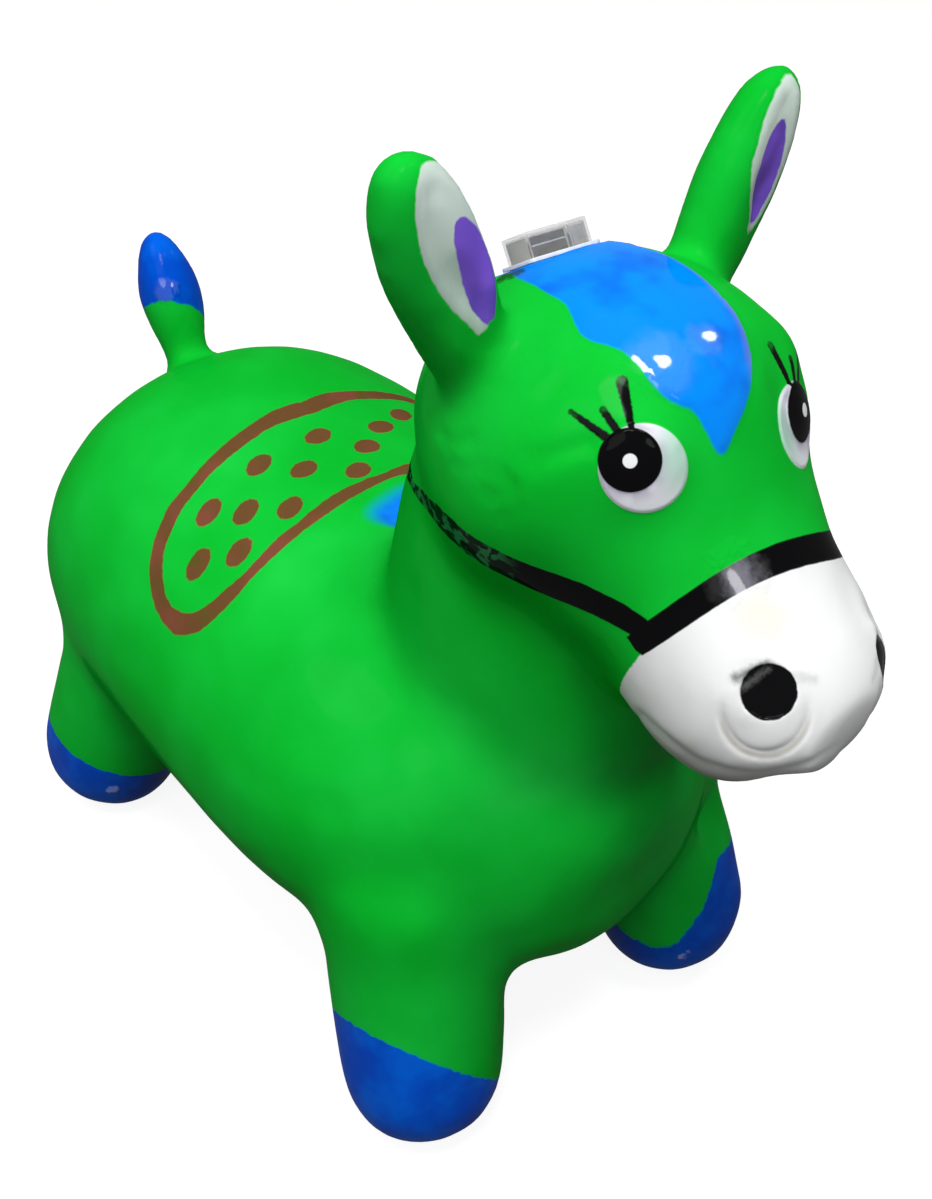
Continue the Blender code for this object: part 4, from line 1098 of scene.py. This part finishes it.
def nostrilLayers(skin):
    # smudges of ink beside the nostril, and the nostril's ink with a brushed sheen
    brushing = skin.ragged(500.0, 3.0, 9.0, 0.7)
    smudge, faint, sheen = (skin.stroke(*plan)[0] + brushing for plan in (
        ((736, 678), (768, 664), 4.0, 3.0),
        ((797, 676), (815, 680), 4.0, 2.0),
        ((742, 688), (768, 669), 3.0, 2.0),
    ))
    smudges = (smudge.step(6.0, -5.0) * 0.7).high(faint.step(6.0, -3.0) * 0.2) * skin.noseNear
    nostril = (skin.circle("nostril") + skin.ragged(300.0, 2.0, 2.4)).step(1.0, -1.0) * skin.noseNear
    ink = skin.mix(sheen.step(4.0, -4.0) * 0.5, paint["black"], paint["inkSheen"])
    return {"smudges": (smudges, paint["black"]), "nostril": (nostril, ink)}


def eyeLayers(skin):
    # the white with a painted shadow beside the pupil and a painted green reflection on its right, the ink of
    # pupil and lashes, and the spark
    near = skin.attribute("eyeNear")
    pupil = skin.circle("pupil")
    # painted shadow: violet-grey on the white close beside the pupil
    shade = pupil.step(16.0, 0.0) * skin.grain(90.0, 1.0).step(0.2, 0.6)
    white = skin.mix(shade * 0.8, paint["eyeWhite"], paint["eyeShade"])
    # painted reflection: the skin's green laid on the right side of the white
    greenReflection = skin.axis("X", skin.plan).step(650, 680) * skin.axis("Y", skin.plan).step(512, 460)
    white = skin.mix(greenReflection * 0.85, white, paint["eyeGreenReflection"])
    ink = pupil.step(0.7, -0.7)
    for lash in facePlan["lashes"]:
        stroke, share = skin.stroke(*lash)
        fade = (share + skin.ragged(260.0, 2.0, 0.5)).step(1.4, 0.85)
        ink = ink.high((stroke + skin.ragged(700.0, 2.0, 2.6)).step(1.1, -1.1) * fade)
    return {
        "eye": (skin.circle("eye").step(0.8, -0.8) * near, white),
        "ink": (ink * near, paint["black"]),
        "spark": (skin.circle("spark").step(0.7, -0.7) * near, paint["spark"]),
    }


def earLayers(skin):
    # the pale lining, shaded towards its foot and its rim, and the purple middle
    cloud = (skin.grain(30.0, 2.0) * 0.3 + skin.attribute("earShare")).step(0.98, 0.62)
    pale = skin.mix(cloud * 0.55, paint["lining"], paint["liningShade"])
    rim = skin.attribute("earLining").step(-4.0, 0.0)
    pale = skin.mix(rim * 0.35, pale, paint["liningShade"])
    purple = skin.clouded(paint["purple"], paint["purpleDeep"], 46.0, 2.0, (0.4, 0.65))
    return {
        "lining": (skin.inside("earLining", 0.5), pale),
        "middle": (skin.inside("earMiddle", 0.5), purple),
    }


def darkStreakLayer(skin):
    # a darker streak at the foot of the right ear
    darkStreak = skin.stroke((499, 278), (522, 271), 4.5, 2.0)[0] + skin.ragged(420.0, 3.0, 9.0, 0.7)
    return darkStreak.step(2.5, -2.0) * skin.near((510, 278), 12.0, 9.0) * 0.8, paint["darkStreak"]


def skinFinish():
    skin = SkinFinish()
    broad, fine = skin.grain(9.0, 3.0, 0.55), skin.grain(260.0, 3.0, 0.6)
    line = skin.inside("saddleOuter", 0.5) * (1 - skin.inside("saddleInner", 0.5, 1.4))
    dots = skin.inside("saddleDots")
    colour, brown = groundColour(skin, broad, fine), saddleColour(skin)
    for share in (line, dots):
        colour = skin.mix(share * 0.97, colour, brown)
    layers = {
        "forelock": forelockLayer(skin), "hooves": hoofLayer(skin), "muzzle": muzzleLayer(skin),
        "belts": beltLayer(skin), **nostrilLayers(skin), **eyeLayers(skin), **earLayers(skin),
        "darkStreak": darkStreakLayer(skin),
    }
    for share, over in layers.values():
        colour = skin.mix(share, colour, over)

    forelock, hooves, muzzle = (layers[name][0] for name in ("forelock", "hooves", "muzzle"))
    glossy = forelock.high(hooves)
    dark = layers["belts"][0].high(layers["ink"][0]).high(layers["nostril"][0])
    painted = glossy.high(dark).high(muzzle).high(layers["lining"][0])
    glints = sum(skin.near(pixel, reach, reach * 0.5, skin.ragged(120.0, 2.0, 0.012, 0.6))
                 for pixel, reach in gloss["glints"])
    rough = gloss["rough"] + (broad - 0.5) * gloss["roughBroad"] + (fine - 0.5) * gloss["roughFine"]
    coat = gloss["coat"] + forelock * gloss["forelockCoat"] + hooves * gloss["hoofCoat"]
    coat = coat + dark * gloss["darkCoat"] + muzzle * gloss["muzzleCoat"]
    coat = coat + glints.low(1.0) * glossy.high(dark) * gloss["glintCoat"]
    peel = skin.bump(skin.grain(150.0, 3.0, 0.55), 0.5 * mm, 0.22)
    pores = skin.bump(skin.grain(900.0, 2.0, 0.6), 0.12 * mm, 0.18, peel)
    dents = skin.bump(skin.grain(170.0, 3.0, 0.65) * glints, 1.1 * mm, 0.7, pores)
    ledge = skin.bump(painted.high(line).high(dots), 0.12 * mm, 0.5, dents)
    skin.set(Base_Color=colour, Roughness=rough - painted * gloss["smoother"], Normal=ledge,
             Specular_IOR_Level=0.0, Coat_Weight=coat, Coat_Roughness=gloss["coatRough"])
    return skin.owner


def smoothed(mesh):
    for face in mesh.polygons:
        face.use_smooth = True
    return mesh


def covered(mesh, material):
    mesh.materials.clear()
    mesh.materials.append(material)
    return mesh


skin = addObject("donkeySkin", covered(smoothed(skinMesh), skinFinish()))
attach(skin, "animal")
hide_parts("skin")
print("skin finished")

# The sound and light box, in its own axes: across, back and up from its seat, in mm
boxCover = {
    "half": (17.25, 8.3), "back": -0.39,
    "corner": 1.6, "leastCorner": 0.35, "cornerSteps": 7,
    "profile": (                # inset and height, from the lid's top outside down to its rim and up inside
        (2.3, 15.62), (2.0, 15.62), (1.8, 15.88), (0.55, 15.9), (0.18, 15.76), (0.02, 15.4), (0.0, 14.9),
        (0.0, 5.0), (0.1, 4.63), (1.1, 4.63), (1.2, 4.9), (1.2, 14.0), (1.4, 14.5), (1.9, 14.68),
    ),
    "ribsAcross": (-15.3, 4.6, 7.0, 15.3), "ribFront": -7.33, "ribBack": 6.56,
    "ribWidth": 0.9, "ribDepth": 0.26, "ribCorner": 0.1, "ribLow": 4.9, "ribHigh": 13.9,
}
boxFilms = {  # across, back and up at the low and high corner
    "filmDarkLow": ((-14.6, -7.42, 5.3), (3.9, -7.26, 9.5)),
    "filmDarkHigh": ((-14.6, -7.42, 10.05), (3.9, -7.26, 13.3)),
    # a white strip that stands for a highlight along the battery holder's rim
    "filmRimHighlight": ((-14.6, -7.45, 9.45), (3.9, -7.24, 10.1)),
    "filmPale": ((7.7, -7.42, 5.2), (14.6, -7.26, 13.3)),
    "filmEnd": ((-15.95, -6.6, 4.9), (-15.79, 5.4, 13.8)),
}
beadPlan = {
    "radius": 0.42, "flatter": 0.6, "sizes": (0.8, 1.15), "seed": 11,
    "rows": (-6.6, 5.8), "height": 1.3, "pitch": 1.9, "reach": 9.5,
}


def grown(name, spots, sizes, build, material):
    # a mesh from a Geometry Nodes tree with named inputs; build(inputs, add) gives its last output
    tree = bpy.data.node_groups.new(name, "GeometryNodeTree")
    tree.interface.new_socket("Geometry", in_out="INPUT", socket_type="NodeSocketGeometry")
    for key, value in sizes.items():
        kind = "NodeSocketInt" if isinstance(value, int) else "NodeSocketFloat"
        tree.interface.new_socket(key, in_out="INPUT", socket_type=kind).default_value = value
    tree.interface.new_socket("Geometry", in_out="OUTPUT", socket_type="NodeSocketGeometry")
    add = functools.partial(addNode, tree)
    real = add("GeometryNodeRealizeInstances", {}, {0: build(add("NodeGroupInput").outputs, add)})
    dress = add("GeometryNodeSetMaterial", {}, {"Geometry": real.outputs[0], "Material": material})
    add("NodeGroupOutput", {}, {0: dress.outputs[0]})

    holder = addObject("holder", meshOf("spots", spots))
    change = holder.modifiers.new("grow", "NODES")
    change.node_group = tree
    for item in tree.interface.items_tree:
        if item.in_out == "INPUT" and item.name in sizes:
            change[item.identifier] = sizes[item.name]
    return evaluated(holder)


def barForm(inputs, add):
    # an upright bar with rounded corners
    sides = add("GeometryNodeCurvePrimitiveQuadrilateral", {}, {
        "Width": inputs["Width"], "Height": inputs["Depth"]})
    rounded = add("GeometryNodeFilletCurve", {"mode": "POLY"}, {
        "Curve": sides.outputs[0], "Radius": inputs["Corner"]})
    top = add("ShaderNodeCombineXYZ", {}, {"Z": inputs["Length"]})
    path = add("GeometryNodeCurvePrimitiveLine", {}, {"End": top.outputs[0]})
    return add("GeometryNodeCurveToMesh", {}, {
        "Curve": path.outputs[0], "Profile Curve": rounded.outputs[0], "Fill Caps": True}).outputs[0]


def barsOnSpots(inputs, add):
    return add("GeometryNodeInstanceOnPoints", {}, {
        "Points": inputs["Geometry"], "Instance": barForm(inputs, add)}).outputs[0]


def barsRound(inputs, add):
    # bars on a circle, each turned to face outwards
    circle = add("GeometryNodeMeshCircle", {}, {"Vertices": inputs["Count"], "Radius": inputs["Radius"]})
    place = add("GeometryNodeInputPosition")
    turn = add("FunctionNodeAlignRotationToVector", {"axis": "Y"}, {"Vector": place.outputs[0]})
    return add("GeometryNodeInstanceOnPoints", {}, {
        "Points": circle.outputs[0], "Instance": barForm(inputs, add),
        "Rotation": turn.outputs[0]}).outputs[0]


def beadsOnSpots(inputs, add):
    ball = add("GeometryNodeMeshUVSphere", {}, {"Segments": 12, "Rings": 8, "Radius": inputs["Radius"]})
    flat = add("GeometryNodeTransform", {}, {
        "Geometry": ball.outputs[0], "Scale": (1.0, 1.0, beadPlan["flatter"])})
    least, most = beadPlan["sizes"]
    size = add("FunctionNodeRandomValue", {"data_type": "FLOAT"}, {2: least, 3: most, "Seed": inputs["Seed"]})
    return add("GeometryNodeInstanceOnPoints", {}, {
        "Points": inputs["Geometry"], "Instance": flat.outputs[0], "Scale": size.outputs[1]}).outputs[0]


def inBox(mesh):
    # from the box's own axes and mm to its place in the pocket
    setPlaces(mesh, intoSeat(placesOf(mesh) * mm))
    return mesh


def ringForm(name, rings, steps, middle):
    # a closed form of the box through rounded rectangles
    verts, faces = stacked(rings, steps)
    work = bmesh.new()
    work.from_mesh(meshOf(name, np.array(verts) + (*middle, 0), faces))
    bmesh.ops.recalc_face_normals(work, faces=work.faces)
    return inBox(fromBmesh(name, work))


def shaded(mesh, angle=35):
    smoothed(mesh).set_sharp_from_angle(angle=math.radians(angle))
    return mesh


def dressed(name, mesh, material, body, replaced=()):
    piece = addObject(name, covered(mesh, material))
    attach(piece, body)
    if replaced:
        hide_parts(*replaced)


def softened(node, width):
    # a merged copy of a CAD solid with its edges rounded
    work = bmesh.new()
    work.from_mesh(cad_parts[node].data)
    bmesh.ops.remove_doubles(work, verts=work.verts, dist=mergeReach)
    bmesh.ops.dissolve_limit(work, angle_limit=math.radians(1.0), verts=work.verts, edges=work.edges)
    return shaded(changed(fromBmesh(node + "Soft", work), "BEVEL", width=width, segments=2,
                          limit_method="ANGLE", angle_limit=math.radians(35), miter_outer="MITER_ARC"))


def plasticFinish(name, colour, rough, mottle=0.06, alpha=None, coat=0.0):
    # moulded plastic: cloudy colour, a fine skin, faint handling marks
    finish = newFinish(name)
    cloud = finish.grain(260.0, 3.0, 0.6)
    scratched = finish.stretched((220, 1600, 900), (0.3, 0.2, 0.6))
    marks = finish.grain(1.0, 3.0, 0.6, scratched, 0.8).step(0.60, 0.72)
    dark = tuple(part * (1 - mottle * 2.5) for part in colour)
    bump = finish.bump(finish.grain(2700.0, 2.0, 0.6), 0.03 * mm, 0.25, finish.bump(cloud, 0.12 * mm, 0.15))
    finish.set(Base_Color=finish.mix(cloud.step(0.3, 0.7), dark, colour), Normal=bump, Coat_Weight=coat,
               Roughness=rough + (cloud - 0.5) * 0.12 + marks * 0.12)
    if alpha is not None:
        finish.set(Alpha=(cloud - 0.5) * 0.10 + marks * 0.10 + alpha)
        finish.owner.surface_render_method = "BLENDED"
    return finish.owner


def metalFinish(name, colour, rough, brushed=(1.0, 1.0, 1.0), worn=0.25):
    # metal with brushed lines and dull stains
    finish = newFinish(name)
    lines = finish.grain(1.0, 3.0, 0.65, finish.stretched(tuple(900 * part for part in brushed)))
    stain = finish.grain(420.0, 3.0, 0.6).step(0.5, 0.75)
    dull = tuple(part * 0.62 for part in colour)
    finish.set(Base_Color=finish.mix(stain * worn, colour, dull), Metallic=1.0,
               Roughness=rough + (lines - 0.5) * 0.18 + stain * 0.12,
               Normal=finish.bump(lines, 0.02 * mm, 0.3))
    return finish.owner


def boardFinish():
    # green lacquer over copper tracks
    finish = newFinish("lacqueredBoard")
    tracks = finish.node("ShaderNodeTexVoronoi", {"feature": "DISTANCE_TO_EDGE"}, {
        "Vector": finish.objectPlace, "Scale": 330.0}, "Distance")
    copper = tracks.step(0.10, 0.05)
    cloud = finish.grain(500.0, 2.0)
    colour = finish.mix(copper * 0.75, srgb(18, 92, 46), srgb(58, 146, 74))
    colour = finish.mix(cloud.step(0.4, 0.7) * 0.3, colour, srgb(12, 70, 34))
    finish.set(Base_Color=colour, Roughness=0.28 + (cloud - 0.5) * 0.15, Coat_Weight=0.4,
               Normal=finish.bump(copper, 0.03 * mm, 0.5))
    return finish.owner


trayWhite = plasticFinish("trayWhite", srgb(238, 239, 240), 0.36)


def addCover():
    rings = [(tuple(side - inset for side in boxCover["half"]),
              max(boxCover["corner"] - inset, boxCover["leastCorner"]), height)
             for inset, height in boxCover["profile"]]
    mesh = ringForm("clearLid", rings, boxCover["cornerSteps"], (0, boxCover["back"]))
    clear = plasticFinish("clearStyrene", srgb(170, 168, 166), 0.12, 0.10, alpha=0.26)
    dressed("clearLid", shaded(mesh, 40), clear, "module", ("clear_cover",))


def addLidRibs():
    sizes = {"Width": boxCover["ribWidth"], "Depth": boxCover["ribDepth"], "Corner": boxCover["ribCorner"],
             "Length": boxCover["ribHigh"] - boxCover["ribLow"]}
    spots = [(x, y, boxCover["ribLow"]) for x in boxCover["ribsAcross"]
             for y in (boxCover["ribFront"], boxCover["ribBack"])]
    finish = plasticFinish("clearRib", srgb(226, 226, 226), 0.2, alpha=0.75)
    mesh = grown("lidRibs", spots, sizes, barsOnSpots, finish)
    dressed("lidRibs", shaded(inBox(mesh)), finish, "module")


def addFilm(name, finish):
    # a thin sheet with eased edges
    low, high = (np.array(corner) for corner in boxFilms[name])
    half = (high - low) / 2
    thin = min(half) * 0.6
    rings = [((half[0] - inset, half[1] - inset * 0.5), 0.04, low[2] + lift) for inset, lift in (
        (thin, 0), (0, thin), (0, 2 * half[2] - thin), (thin, 2 * half[2]))]
    mesh = ringForm(name, rings, 2, (low + high)[:2] / 2)
    dressed(name, shaded(mesh), finish, "module")


def addBeads():
    finish = metalFinish("solder", srgb(196, 196, 192), 0.30)
    reach = beadPlan["reach"]
    spots = [(x, y, beadPlan["height"]) for y in beadPlan["rows"]
             for x in np.arange(-reach, reach + 0.01, beadPlan["pitch"])]
    sizes = {"Radius": beadPlan["radius"], "Seed": beadPlan["seed"]}
    mesh = grown("solderBeads", spots, sizes, beadsOnSpots, finish)
    dressed("solderBeads", shaded(inBox(mesh), 60), finish, "module")


addCover()
addLidRibs()
filmDark = plasticFinish("insulatingFilm", srgb(30, 27, 26), 0.40, 0.16)
addFilm("filmDarkLow", filmDark)
addFilm("filmDarkHigh", filmDark)
# painted highlight: a white strip along the holder's rim, between the two dark films
addFilm("filmRimHighlight", trayWhite)
addFilm("filmPale", plasticFinish("paleCard", srgb(214, 212, 210), 0.55, 0.08, alpha=0.9))
addFilm("filmEnd", plasticFinish("endCard", srgb(246, 244, 240), 0.55, 0.06))
dressed("flangedTray", softened("module_tray", 0.18 * mm), trayWhite, "module", ("module_tray",))
dressed("cellTrough", softened("battery_holder", 0.14 * mm),
        plasticFinish("holderDark", srgb(74, 70, 68), 0.48), "module", ("battery_holder",))
addBeads()
print("sound and light box dressed")

# The stopper: the CAD form with rounded edges, and a ring of fine grip ribs round its head, in mm
plugPlan = {
    "edge": 0.22,
    "ribs": 40, "ribWidth": 0.55, "ribDepth": 0.5, "ribCorner": 0.12, "ribHeight": 1.0,
    "ribRadius": 9.55,
    "headBelow": 14.2,          # from the stopper's top end down to the top of its head
}


def addStopper():
    white = plasticFinish("stopperWhite", srgb(228, 228, 222), 0.42)
    dressed("stopper", softened("valve_plug", plugPlan["edge"] * mm), white, "plug", ("valve_plug",))
    mesh = grown("stopperRibs", [(0, 0, 0)], {
        "Count": plugPlan["ribs"], "Radius": plugPlan["ribRadius"], "Width": plugPlan["ribWidth"],
        "Depth": plugPlan["ribDepth"], "Corner": plugPlan["ribCorner"], "Length": plugPlan["ribHeight"],
    }, barsRound, white)
    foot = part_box("valve_plug")[1][2] - (plugPlan["headBelow"] + plugPlan["ribHeight"]) * mm
    setPlaces(mesh, placesOf(mesh) * mm + (*plugAt[:2], foot))
    dressed("stopperRibs", shaded(mesh), white, "plug")


addStopper()

# Finishes for the CAD pieces that stay, by how their names start
nodeFinishes = {
    "circuit_board": boardFinish(),
    "chip_drop": plasticFinish("chipResin", srgb(14, 14, 15), 0.18, coat=0.5),
    "contact": metalFinish("nickelStrip", srgb(214, 208, 192), 0.24, (0.3, 0.3, 2.0)),
    "button_cell": metalFinish("cellSteel", srgb(206, 206, 202), 0.22, (2.0, 0.4, 0.4), 0.15),
    "board_screw": metalFinish("platedScrew", srgb(176, 176, 180), 0.30),
    "led_red": plasticFinish("redLamp", srgb(220, 96, 88), 0.10, 0.04, alpha=0.6, coat=0.5),
    "led_green": plasticFinish("greenLamp", srgb(130, 206, 140), 0.10, 0.04, alpha=0.6, coat=0.5),
    "led_blue": plasticFinish("blueLamp", srgb(110, 146, 226), 0.10, 0.04, alpha=0.6, coat=0.5),
    "speaker_basket": metalFinish("speakerSteel", srgb(168, 168, 168), 0.38, (1.0, 1.0, 0.3)),
    "speaker_cone": plasticFinish("coneFilm", srgb(52, 52, 56), 0.45),
    "speaker_wire": plasticFinish("redWire", srgb(196, 34, 28), 0.42),
    "trembler": metalFinish("springSteel", srgb(206, 204, 198), 0.26, (0.4, 0.4, 2.0)),
}
for name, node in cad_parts.items():
    for start, finish in nodeFinishes.items():
        if name.startswith(start):
            for slot in node.material_slots:
                slot.material = finish
print("stopper, board and small metal finished")
